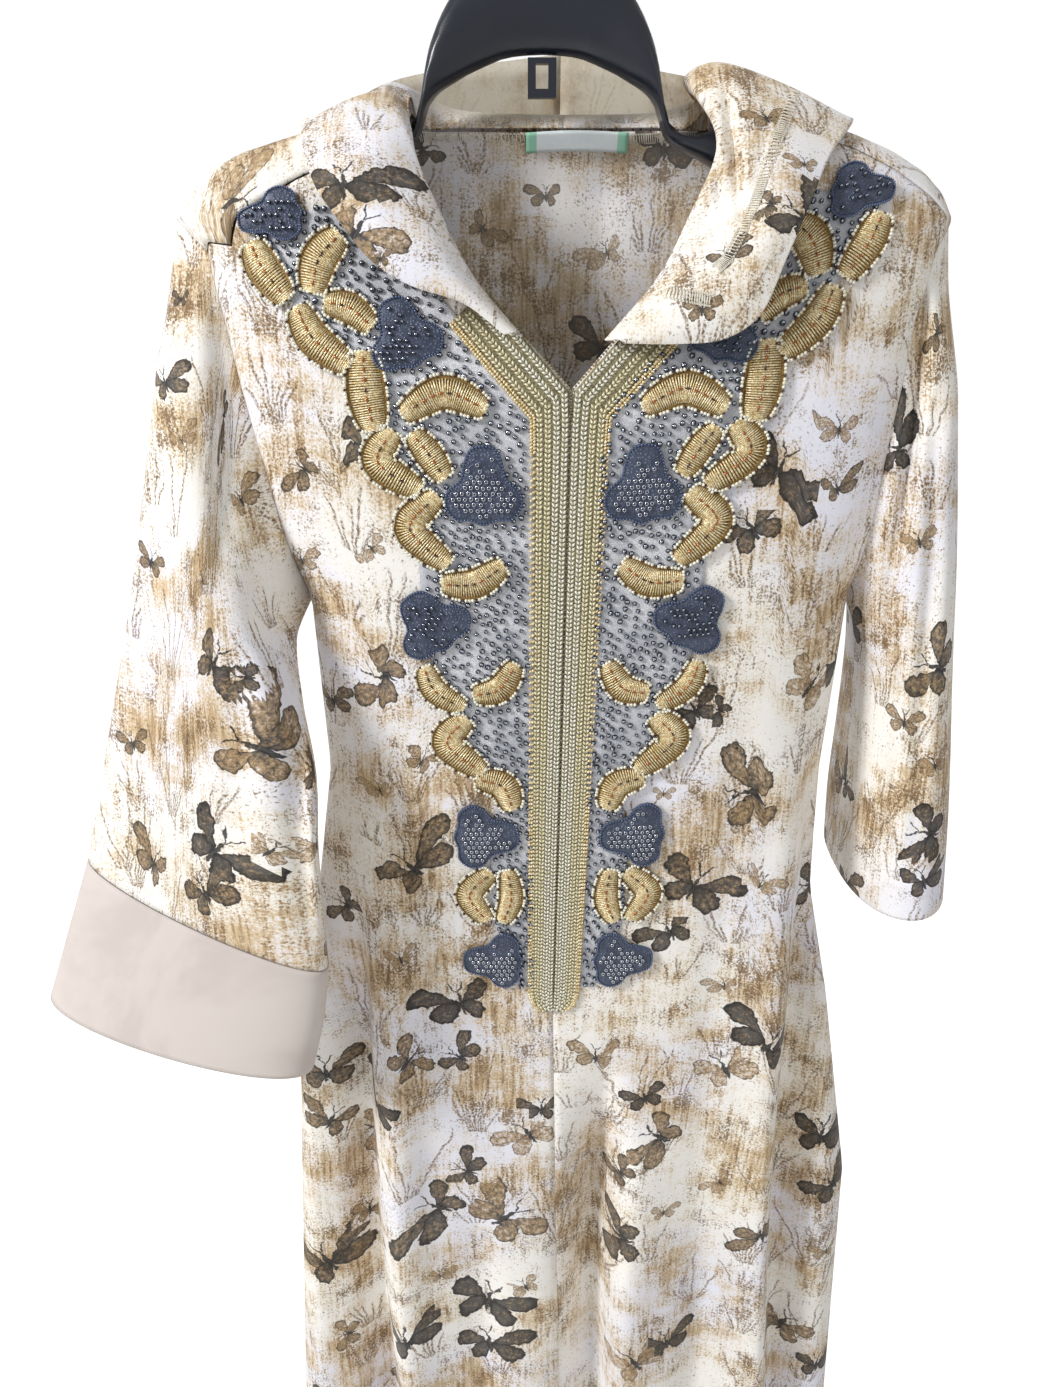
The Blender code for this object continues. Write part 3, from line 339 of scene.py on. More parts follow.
def spline(points, t):
    """Smooth curve through points, t from 0 to 1."""
    last = len(points) - 1
    place = min(max(t, 0.0), 1.0) * last
    i = min(int(place), last - 1)
    return smooth_run(points[max(i - 1, 0)], points[i], points[i + 1], points[min(i + 2, last)], place - i)


def polyline(points, t):
    """Straight runs between points, t from 0 to 1."""
    place = min(max(t, 0.0), 1.0) * (len(points) - 1)
    i = min(int(place + 0.0001), len(points) - 2)
    return points[i] + (points[i + 1] - points[i]) * (place - i)


def band_edges(rows, t):
    """The inner and outer edge of a band laid on the front, at a share of its length."""
    return [polyline([Vector(row[start:start + 2]) for row in rows], t) for start in (0, 2)]


def half_width(side, z):
    return read_row(BODY_ROWS, z, 1 if side < 0 else 2)


def ridge_z(side, out):
    return read_row(RIDGE_ROWS, abs(out), 1 if side < 0 else 2)


def seam_drop(side, out):
    return read_row(SEAM_ROWS, abs(out), 1 if side < 0 else 2)


def neck_half(z):
    return read_row(NECK_ROWS, z, 1)


def centre_x(z):
    return read_row(CENTRE_ROWS, z, 1)


def profile(x, z):
    """1 over the middle of the body, falling to 0 at its side edge."""
    side = -1 if x < 0 else 1
    open_arm = ARMHOLE_OPEN * smooth((z - UNDERARM_Z) / 0.06)
    q = min(1.0, abs(x) / (half_width(side, z) + open_arm))
    return math.sqrt(max(0.0, 1.0 - q ** 6))


def fold_depth(folds, x, z):
    total = 0.0
    for x_top, x_hem, z_top, right, left, depth in folds:
        if z >= z_top:
            continue
        t = (z_top - z) / (z_top - HEM_Z)
        middle = x_top + (x_hem - x_top) * t + 0.004 * math.sin(9.0 * z + 40.0 * x_top)
        grown = smooth(t / 0.2)
        wide = (right if x < middle else left) * (1.0 + 0.5 * t)
        total += depth * grown * math.exp(-((x - middle) / wide) ** 2)
    return total


def ridge_drop(x, z):
    """How far a level lies below the shoulder's ridge, at the same share of the width."""
    side = -1 if x < 0 else 1
    share = min(1.0, abs(x) / half_width(side, z))
    return ridge_z(side, share * SHOULDER_HALF) - z


def front_y(x, z):
    """The front's outer surface."""
    drop = min(RIDGE_R, max(0.0, ridge_drop(x, z)))
    over = math.sqrt(drop / RIDGE_R * (2.0 - drop / RIDGE_R))
    depth = read_row(BODY_ROWS, z, 3)
    edge = profile(x, z)
    return -depth * edge * over + fold_depth(FRONT_FOLDS, x, z) * edge


def back_y(x, z):
    """The back's outer surface, below the shoulder."""
    depth = read_row(BODY_ROWS, z, 4)
    edge = profile(x, z)
    return depth * edge - fold_depth(BACK_FOLDS, x, z) * edge


def front_point(x, z, out=0.0):
    """A point on the front, moved out of its surface."""
    step = 0.002
    slope_x = (front_y(x + step, z) - front_y(x - step, z)) / (2 * step)
    slope_z = (front_y(x, z + step) - front_y(x, z - step)) / (2 * step)
    normal = Vector((slope_x, -1.0, slope_z)).normalized()
    return Vector((x, front_y(x, z), z)) + normal * out


def seam_level(side, share):
    """Level of the shoulder seam at a share of the shoulder's width."""
    out = share * SHOULDER_HALF
    return ridge_z(side, out) - seam_drop(side, out)


def spread(u):
    """Columns lie closer together towards the side edge."""
    return 0.6 * math.sin(u * math.pi / 2) + 0.4 * u


def front_place(side, across, v):
    """A front's cell corner: across from the centre to the side, v from the hem up."""
    s = spread(across)
    if v < KNEE:
        z = HEM_Z + (V_BOTTOM_Z - HEM_Z) * v / KNEE
        x_in = centre_x(z) + side * CENTRE_GAP / 2
        return x_in + (side * half_width(side, z) - x_in) * s, z
    t = (v - KNEE) / (1.0 - KNEE)
    low_in = centre_x(V_BOTTOM_Z) + side * CENTRE_GAP / 2
    low_out = side * half_width(side, V_BOTTOM_Z)
    neck_share = NECK_HALF / SHOULDER_HALF
    share = neck_share + (1.0 - neck_share) * s
    top_z = seam_level(side, share)
    top_x = side * share * half_width(side, top_z)
    low_x = low_in + (low_out - low_in) * s
    z = V_BOTTOM_Z + (top_z - V_BOTTOM_Z) * t
    x = low_x + (top_x - low_x) * t
    # the neckline and the armhole curve between their ends
    neck_top = seam_level(side, neck_share)
    z_in = V_BOTTOM_Z + (neck_top - V_BOTTOM_Z) * t
    straight_in = low_in + (side * NECK_HALF - low_in) * t
    curved_in = side * neck_half(z_in) + low_in * (1.0 - t)
    arm_top = seam_level(side, 1.0)
    z_out = V_BOTTOM_Z + (arm_top - V_BOTTOM_Z) * t
    straight_out = low_out + (side * half_width(side, arm_top) - low_out) * t
    curved_out = side * half_width(side, z_out)
    x += (curved_in - straight_in) * (1.0 - s) + (curved_out - straight_out) * s
    return x, z


def back_share(across):
    """Share of the half width at a back column, matching the front's columns at the shoulder."""
    place = across * BACK_COLUMNS / 2
    steps = len(NECK_OUTS) - 1
    if place < steps:
        i = int(place + 0.001)
        out = NECK_OUTS[i] + (NECK_OUTS[min(i + 1, steps)] - NECK_OUTS[i]) * (place - i)
        return out / SHOULDER_HALF
    neck_share = NECK_HALF / SHOULDER_HALF
    return neck_share + (1.0 - neck_share) * spread((place - steps) / (BACK_COLUMNS / 2 - steps))


def back_end_angle(side, share):
    """How far over the ridge the back reaches, as an angle from straight behind."""
    out = share * SHOULDER_HALF
    seam = -math.acos(1.0 - seam_drop(side, out) / RIDGE_R) + SHOULDER_GAP / RIDGE_R
    return BACK_NECK_ANGLE + (seam - BACK_NECK_ANGLE) * smooth((out - 0.083) / 0.007)


def back_place(u, v):
    across = 2.0 * u - 1.0
    side = 1 if across < 0 else -1          # u runs from the wearer's left to right
    share = back_share(abs(across))
    ridge = ridge_z(side, share * SHOULDER_HALF)
    top = 1.0 - BACK_OVER
    if v < top:
        z = HEM_Z + (ridge - RIDGE_R - HEM_Z) * v / top
        x = side * share * half_width(side, z)
        return (x, max(back_y(x, z), EDGE_SET_BACK), z)
    t = (v - top) / BACK_OVER
    angle = math.pi / 2 + (back_end_angle(side, share) - math.pi / 2) * t
    z = ridge - RIDGE_R * (1.0 - math.cos(angle))
    x = side * share * half_width(side, z)
    depth = read_row(BODY_ROWS, z, 4 if angle > 0 else 3)
    y = depth * profile(x, z) * math.sin(angle)
    if angle > 0.0:
        y = max(y, EDGE_SET_BACK * math.sin(angle))
    return (x, y, z)


def armhole_loop(side):
    """The armhole's edge as one loop, from the underarm up the front and down the back."""
    front = []
    back = []
    steps = 24
    for i in range(steps + 1):
        t = i / steps
        z = UNDERARM_Z + (seam_level(side, 1.0) - UNDERARM_Z) * t
        x = side * half_width(side, z)
        front.append(Vector((x, min(front_y(x, z), -EDGE_SET_BACK), z)))
        level = ridge_z(side, SHOULDER_HALF) - RIDGE_R
        z_back = UNDERARM_Z + (level - UNDERARM_Z) * t
        x_back = side * half_width(side, z_back)
        back.append(Vector((x_back, max(back_y(x_back, z_back), EDGE_SET_BACK), z_back)))
    for i in range(1, 7):
        angle = math.pi / 2 * (1.0 - i / 6)
        z = ridge_z(side, SHOULDER_HALF) - RIDGE_R * (1.0 - math.cos(angle))
        x = side * half_width(side, z)
        depth = read_row(BODY_ROWS, z, 4)
        y = max(depth * profile(x, z), EDGE_SET_BACK) * math.sin(angle)
        back.append(Vector((x, y, z)))
    return front + back[::-1]


def running_lengths(points):
    """Distances along a line of points, from its start."""
    lengths = [0.0]
    for a, b in zip(points, points[1:]):
        lengths.append(lengths[-1] + (b - a).length)
    return lengths


def resample(loop, count):
    """Points at even steps around a closed loop."""
    closed = loop + [loop[0]]
    lengths = running_lengths(closed)
    out = []
    place = 0
    for i in range(count):
        target = lengths[-1] * i / count
        while lengths[place + 1] < target:
            place += 1
        step = lengths[place + 1] - lengths[place]
        t = (target - lengths[place]) / step if step else 0.0
        out.append(closed[place].lerp(closed[place + 1], t))
    return out


def ring_point(rows, angle, along):
    """A point of a flattened tube: angle 0 is its inner edge and a quarter turn its front."""
    outer = spline([Vector(row[0]) for row in rows], along)
    inner = spline([Vector(row[1]) for row in rows], along)
    half = spline([row[2] for row in rows], along)
    middle = (outer + inner) / 2
    lift = math.copysign(abs(math.sin(angle)) ** 0.8, math.sin(angle))
    return middle + (inner - middle) * math.cos(angle) + Vector((0.0, -half * lift, 0.0))


def neck_seam_point(side, station):
    """Where a hood station is sewn to the neck: on the front's edge, or behind the neck."""
    z = station[0]
    rise = station[1]
    if z < SEAM_TOP_Z:
        x = side * (neck_half(z) - 0.0014)
        over = SEAM_GAP * 3
        if z < BRAID_ROWS[-1][1] + 0.012:
            over = BRAID_THICK + OVERLAY_GAP * 2
        elif z > SHOULDER_TURN_Z:
            over = SHOULDER_CLEAR
        return Vector((x, front_y(x, z) - over, z))
    if rise[1] < 0.02:
        return Vector((side * (NECK_HALF - 0.002), 0.002, ridge_z(side, NECK_HALF) + SHOULDER_CLEAR * 1.6))
    drop = RIDGE_R * (1.0 - math.cos(BACK_NECK_ANGLE))
    return Vector((rise[0] * 0.94, BACK_NECK_Y, ridge_z(side, 0.0) - drop + WALL + SEAM_GAP * 3))


def rise(side, out):
    """The wearer's-left half of the bib hangs higher towards the shoulder."""
    return LEFT_RISE * (out / 0.17) ** 2 if side > 0 else 0.0


def on_front(side, out, z, lift):
    return front_point(side * out, z + rise(side, out), lift)


# %% [markdown]
# Node helpers: short names for the nodes of one tree, and colours written as the screen shows them.

# %% Node helpers
def linear(code):
    """A screen colour such as C9AE86, as the shader reads it."""
    values = [int(code[i:i + 2], 16) / 255 for i in (0, 2, 4)]
    return tuple(v / 12.92 if v <= 0.04045 else ((v + 0.055) / 1.055) ** 2.4 for v in values) + (1.0,)


class Wires:
    def __init__(self, tree):
        self.tree = tree

    def put(self, socket, value):
        if isinstance(value, bpy.types.NodeSocket):
            self.tree.links.new(value, socket)
        else:
            socket.default_value = value

    def node(self, kind, **values):
        made = self.tree.nodes.new(kind)
        for name, value in values.items():
            self.put(made.inputs[name.replace("_", " ")], value)
        return made

    def math(self, operation, a, b=0.5, c=0.5):
        made = self.tree.nodes.new("ShaderNodeMath")
        made.operation = operation
        for socket, value in zip(made.inputs, (a, b, c)):
            self.put(socket, value)
        return made.outputs[0]

    def plus(self, a, b):
        return self.math("ADD", a, b)

    def minus(self, a, b):
        return self.math("SUBTRACT", a, b)

    def times(self, a, b):
        return self.math("MULTIPLY", a, b)

    def line(self, value, slope, start):
        return self.math("MULTIPLY_ADD", value, slope, start)

    def size(self, value):
        return self.math("ABSOLUTE", value)

    def length(self, a, b):
        return self.math("SQRT", self.plus(self.times(a, a), self.times(b, b)))

    def here(self):
        return self.node("ShaderNodeTexCoord").outputs["Object"]

    def bump(self, shader, height, strength, distance):
        made = self.node("ShaderNodeBump", Height=height, Strength=strength, Distance=distance)
        self.put(shader["Normal"], made.outputs[0])

    def vector(self, operation, a, b=(0.0, 0.0, 0.0)):
        made = self.tree.nodes.new("ShaderNodeVectorMath")
        made.operation = operation
        self.put(made.inputs[0], a)
        self.put(made.inputs[1], b)
        return made.outputs[0]

    def join(self, x, y, z=0.0):
        return self.node("ShaderNodeCombineXYZ", X=x, Y=y, Z=z).outputs[0]

    def split(self, value):
        return self.node("ShaderNodeSeparateXYZ", Vector=value).outputs[:3]

    def fade(self, value, low, high, start=0.0, end=1.0):
        """Rises smoothly from start at low to end at high."""
        made = self.tree.nodes.new("ShaderNodeMapRange")
        made.interpolation_type = "SMOOTHSTEP"
        for socket, number in zip(made.inputs, (value, low, high, start, end)):
            self.put(socket, number)
        return made.outputs[0]

    def noise(self, vector, scale, detail=2.0, rough=0.5):
        made = self.node("ShaderNodeTexNoise", Vector=vector, Scale=scale, Detail=detail, Roughness=rough)
        return made.outputs[0]

    def cells(self, vector, scale, output="Distance"):
        made = self.node("ShaderNodeTexVoronoi", Vector=vector, Scale=scale)
        return made.outputs[output]

    def mix(self, share, a, b):
        made = self.tree.nodes.new("ShaderNodeMix")
        made.data_type = "RGBA"
        self.put(made.inputs[0], share)
        self.put(made.inputs[6], a)
        self.put(made.inputs[7], b)
        return made.outputs[2]


def new_group(name, inputs, outputs):
    tree = bpy.data.node_groups.new(name, "ShaderNodeTree")
    for label, kind in inputs:
        tree.interface.new_socket(label, in_out="INPUT", socket_type="NodeSocket" + kind)
    for label, kind in outputs:
        tree.interface.new_socket(label, in_out="OUTPUT", socket_type="NodeSocket" + kind)
    return Wires(tree), tree.nodes.new("NodeGroupInput").outputs, tree.nodes.new("NodeGroupOutput").inputs


def new_piece(name, bm, materials, smooth=True, body="root"):
    """An object made of a bmesh, which is used up."""
    mesh = bpy.data.meshes.new(name)
    bm.to_mesh(mesh)
    bm.free()
    if smooth:
        mesh.shade_smooth()
    for material in materials:
        mesh.materials.append(material)
    piece = bpy.data.objects.new(name, mesh)
    bpy.context.scene.collection.objects.link(piece)
    if body:
        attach(piece, body)
    return piece


def new_material(name, **values):
    """A Principled material and the helper for its nodes."""
    material = bpy.data.materials.new(name)
    material.use_nodes = True
    shader = material.node_tree.nodes["Principled BSDF"]
    for label, value in values.items():
        shader.inputs[label.replace("_", " ")].default_value = value
    return material, Wires(material.node_tree), shader.inputs


# %% [markdown]
# The butterfly motif is drawn from ellipses and lines in its own square, half a span to each side.
# Its kind runs from 0, pale wings with dark outlines, to 1, a dark moth. Its seed changes the wings.

# %% Butterfly motif
w, given, out = new_group("Butterfly", [("Place", "Vector"), ("Kind", "Vector")],
                          [("Ink", "Float"), ("Wing", "Float"), ("Shade", "Float")])
kind, seed, _ = w.split(given["Kind"])
seeded = w.vector("ADD", given["Place"], w.join(w.times(seed, 37.0), w.times(seed, 11.0)))
ragged = w.node("ShaderNodeTexNoise", Vector=seeded, Scale=5.5, Detail=5.0).outputs["Color"]
ragged = w.vector("MULTIPLY", w.vector("SUBTRACT", ragged, (0.5, 0.5, 0.5)), (0.24, 0.24, 0.0))
x, y, _ = w.split(w.vector("ADD", given["Place"], ragged))
lean = w.line(seed, 0.8, -0.4)
far = w.size(w.plus(x, w.times(lean, w.size(x))))


def wing_field(centre_x, centre_y, turn, long_r, short_r, flare):
    """Below 1 inside a wing, an ellipse that widens towards its tip."""
    cos, sin = math.cos(math.radians(turn)), math.sin(math.radians(turn))
    dx = w.minus(far, centre_x)
    dy = w.minus(y, centre_y)
    along = w.math("DIVIDE", w.plus(w.times(dx, cos), w.times(dy, sin)), long_r)
    over = w.minus(w.times(dy, cos), w.times(dx, sin))
    wide = w.line(along, flare * short_r, short_r)
    over = w.math("DIVIDE", over, wide)
    return w.length(along, over)


fore = wing_field(0.5, 0.24, 26, 0.5, 0.225, 0.75)
hind = wing_field(0.32, -0.2, -40, 0.36, 0.255, 0.35)
field = w.math("MINIMUM", fore, hind)
wing = w.fade(field, 1.0, 0.95)
edge = w.times(wing, w.fade(field, w.line(kind, -0.34, 0.84), 1.0))
line = w.times(w.fade(w.size(w.minus(fore, hind)), 0.1, 0.02), wing)
turned = w.math("ARCTAN2", w.plus(y, 0.06), far)
veins = w.fade(w.size(w.math("SINE", w.times(turned, 11.0))), 0.2, 0.05)
veins = w.times(w.times(veins, wing), w.line(kind, -0.45, 0.85))
spots = w.fade(w.cells(seeded, 4.2), 0.24, 0.14)
spots = w.times(w.times(spots, w.fade(field, 0.55, 0.75)), w.times(wing, w.fade(kind, 0.1, 0.4)))
body_y = w.math("DIVIDE", w.plus(y, 0.03), 0.36)
body_x = w.math("DIVIDE", x, 0.062)
body = w.length(body_x, body_y)
body = w.fade(body, 1.0, 0.8)
feeler = w.size(w.minus(w.size(x), w.line(y, 0.62, -0.17)))
feeler = w.times(w.fade(feeler, 0.034, 0.014), w.times(w.fade(y, 0.28, 0.31), w.fade(y, 0.6, 0.56)))
ink = w.math("MAXIMUM", w.math("MAXIMUM", body, feeler), w.math("MAXIMUM", edge, w.math("MAXIMUM", veins, spots)))
mottle = w.noise(seeded, 9.0, 5.0, 0.75)
w.put(out["Ink"], w.math("MAXIMUM", ink, w.times(line, 0.7)))
w.put(out["Wing"], wing)
root = w.fade(w.length(far, y), 0.45, 0.05, 0.0, 0.35)
shade = w.plus(w.line(kind, 0.85, -0.1), w.line(mottle, 3.2, -1.6))
w.put(out["Shade"], w.plus(shade, root))

# %% [markdown]
# The printed ground: white and pale lavender crepe under grainy tan washes, brown spatter and tufts
# of dry grass. The edges of the washes are broken up by the same grain and upright fibres.

# %% Printed ground
w, given, out = new_group("Sepia print", [("Place", "Vector"), ("Motif", "Vector"), ("Kind", "Vector")],
                          [("Color", "Color")])
place = given["Place"]
x, y, _ = w.split(place)
grain = w.noise(place, 620.0, 3.0, 0.75)
fibre = w.noise(w.join(w.times(x, 330.0), w.times(y, 24.0)), 1.0, 3.0, 0.7)
streaks = w.noise(w.join(w.times(x, 64.0), w.times(y, 11.0), 2.0), 1.0, 5.0, 0.7)
cloud = w.noise(place, 15.0, 7.0, 0.68)
bands = w.noise(w.join(w.times(x, 7.0), w.times(y, 19.0), 5.0), 1.0, 5.0, 0.66)
broken = w.plus(w.line(grain, 0.34, -0.17), w.line(fibre, 0.16, -0.08))


def washed(*shares):
    """Several noises added by their shares, with edges broken up by grain and fibres."""
    total = broken
    for field, share in shares:
        total = w.line(field, share, total)
    return total


mass = washed((cloud, 0.56), (bands, 0.3), (streaks, 0.14))
pale = w.fade(mass, 0.44, 0.56)
wash = w.fade(mass, 0.495, 0.58)
deep = w.fade(washed((w.noise(w.vector("ADD", place, (7.0, 2.0, 0.0)), 30.0, 6.0, 0.72), 0.6), (mass, 0.4)), 0.53, 0.61)
spatter = w.fade(w.noise(w.vector("ADD", place, (1.0, 5.0, 0.0)), 520.0, 2.0, 0.6), 0.61, 0.67)
spatter = w.times(spatter, w.fade(w.noise(place, 26.0, 4.0, 0.7), 0.46, 0.58, 0.04, 0.85))


def tufts(wide, tall, shift, share):
    """Dry grass: in some cells of the cloth, thin upright blades fan out from one foot."""
    across = w.math("DIVIDE", w.plus(x, shift), wide)
    row = w.math("FLOOR", across)
    up = w.plus(w.math("DIVIDE", w.plus(y, shift), tall), w.times(row, 0.37))
    cell = w.join(row, w.math("FLOOR", up), shift)
    chance, foot, _ = w.split(w.node("ShaderNodeTexWhiteNoise", Vector=cell).outputs["Color"])
    waver = w.line(w.noise(w.join(w.times(x, 40.0), w.times(y, 60.0), shift), 1.0, 3.0), 0.01, -0.005)
    side = w.minus(w.math("FRACT", across), w.line(foot, 0.4, 0.3))
    side = w.line(side, wide, waver)
    high = w.times(w.math("FRACT", up), tall)
    angle = w.math("ARCTAN2", side, w.plus(high, 0.01))
    number = w.line(angle, 8.0, w.times(foot, 7.0))
    reach = w.node("ShaderNodeTexWhiteNoise", Vector=w.join(w.math("FLOOR", number), row, chance)).outputs["Value"]
    off = w.size(w.minus(w.math("FRACT", number), 0.5))
    off = w.times(off, w.line(high, 0.09, 0.0011))
    blade = w.fade(off, 0.00085, 0.0003)
    length = w.line(w.math("POWER", reach, 2.0), tall * 0.9, 0.0)
    blade = w.times(blade, w.fade(high, length, w.minus(length, 0.006)))
    blade = w.times(blade, w.fade(w.size(angle), 0.62, 0.5))
    return w.times(blade, w.math("LESS_THAN", chance, share))


stems = w.math("MAXIMUM", tufts(0.056, 0.085, 0.011, 0.55), tufts(0.037, 0.05, 0.437, 0.45))
stems = w.times(stems, w.fade(grain, 0.4, 0.56, 0.15, 0.95))
ground = w.mix(w.fade(w.noise(place, 7.5, 2.0), 0.42, 0.6), linear("F6F3EE"), linear("EBEBF6"))
colour = w.mix(w.times(pale, 0.75), ground, linear("E2D2B4"))
colour = w.mix(w.times(wash, 0.85), colour, w.mix(w.fade(fibre, 0.42, 0.6), linear("CEB286"), linear("A38152")))
colour = w.mix(w.times(deep, 0.85), colour, linear("735735"))
colour = w.mix(stems, colour, linear("765A36"))
colour = w.mix(spatter, colour, linear("6B4F30"))
fly = w.node("ShaderNodeGroup")
fly.node_tree = bpy.data.node_groups["Butterfly"]
w.put(fly.inputs["Place"], given["Motif"])
w.put(fly.inputs["Kind"], given["Kind"])
shade = w.mix(w.fade(fly.outputs["Shade"], -0.2, 0.8), linear("B5966C"), linear("2B2622"))
lit = w.fade(fly.outputs["Shade"], -0.35, 0.1, 0.25, 0.92)
colour = w.mix(w.times(fly.outputs["Wing"], lit), colour, shade)
colour = w.mix(w.times(fly.outputs["Ink"], w.fade(grain, 0.25, 0.45, 0.72, 0.95)), colour, linear("1C1A18"))
w.put(out["Color"], colour)

# %% [markdown]
# The crepe's own surface: fine pebbles and slight upright slubs, as a height for bump.

# %% Crepe surface
w, given, out = new_group("Crepe", [("Place", "Vector")], [("Height", "Float")])
x, y, _ = w.split(given["Place"])
pebble = w.noise(given["Place"], 1500.0, 2.0, 0.6)
slub = w.noise(w.join(w.times(x, 900.0), w.times(y, 70.0)), 1.0, 2.0)
w.put(out["Height"], w.plus(w.times(pebble, 0.5), w.times(slub, 0.5)))


def crepe_material(name, dim, tint):
    """Printed crepe. The wrong side shows the same print through a tint."""
    material, w, shader = new_material(name, Roughness=0.8, Sheen_Weight=0.12, Sheen_Roughness=0.5)
    cloth = w.node("ShaderNodeUVMap")
    cloth.uv_map = "Cloth"
    motif = w.node("ShaderNodeUVMap")
    motif.uv_map = "Motif"
    kind = w.node("ShaderNodeUVMap")
    kind.uv_map = "Kind"
    print_node = w.node("ShaderNodeGroup")
    print_node.node_tree = bpy.data.node_groups["Sepia print"]
    w.put(print_node.inputs["Place"], cloth.outputs[0])
    w.put(print_node.inputs["Motif"], motif.outputs[0])
    w.put(print_node.inputs["Kind"], kind.outputs[0])
    w.put(shader["Base Color"], w.mix(dim, print_node.outputs["Color"], linear(tint)))
    crepe = w.node("ShaderNodeGroup")
    crepe.node_tree = bpy.data.node_groups["Crepe"]
    w.put(crepe.inputs["Place"], cloth.outputs[0])
    w.bump(shader, crepe.outputs["Height"], 0.35, 0.0004)
    return material


PRINT = crepe_material("printed crepe", 0.0, "FFFFFF")
WRONG_SIDE = crepe_material("printed crepe wrong side", 0.14, "DDD6CB")

# %% [markdown]
# The camera stands where the photograph was taken, a little above the bust and tilted down.
# It comes first because the motifs that show from the front are placed through it.

# %% Camera
CAMERA_PLACE = Vector((-0.009, -0.7, -0.24))
CAMERA_TILT = 20.5
FOCAL = 1100.0           # in the photograph's pixels
PHOTO = (1052, 1387)

camera_data = bpy.data.cameras.new("Camera")
camera_data.lens = 36.0 * FOCAL / PHOTO[1]
camera_data.sensor_width = 36.0
camera_data.sensor_fit = "AUTO"
camera_data.clip_start = 0.01
camera = bpy.data.objects.new("Camera", camera_data)
camera.location = CAMERA_PLACE
camera.rotation_euler = (math.radians(90.0 - CAMERA_TILT), 0.0, 0.0)
bpy.context.scene.collection.objects.link(camera)
bpy.context.scene.camera = camera


def seen_at(points):
    """Where points stand in the photograph's frame, and how far off they are."""
    tilt = math.radians(CAMERA_TILT)
    away = points - np.array(CAMERA_PLACE)
    depth = away[..., 1] * math.cos(tilt) - away[..., 2] * math.sin(tilt)
    up = away[..., 1] * math.sin(tilt) + away[..., 2] * math.cos(tilt)
    return PHOTO[0] / 2 + FOCAL * away[..., 0] / depth, PHOTO[1] / 2 - FOCAL * up / depth, depth


# %% [markdown]
# Motifs that show from the front: where each stands in the photograph's frame, how wide it is,
# how far it is turned, in degrees, and its kind. The hidden sides get others of the same sizes.

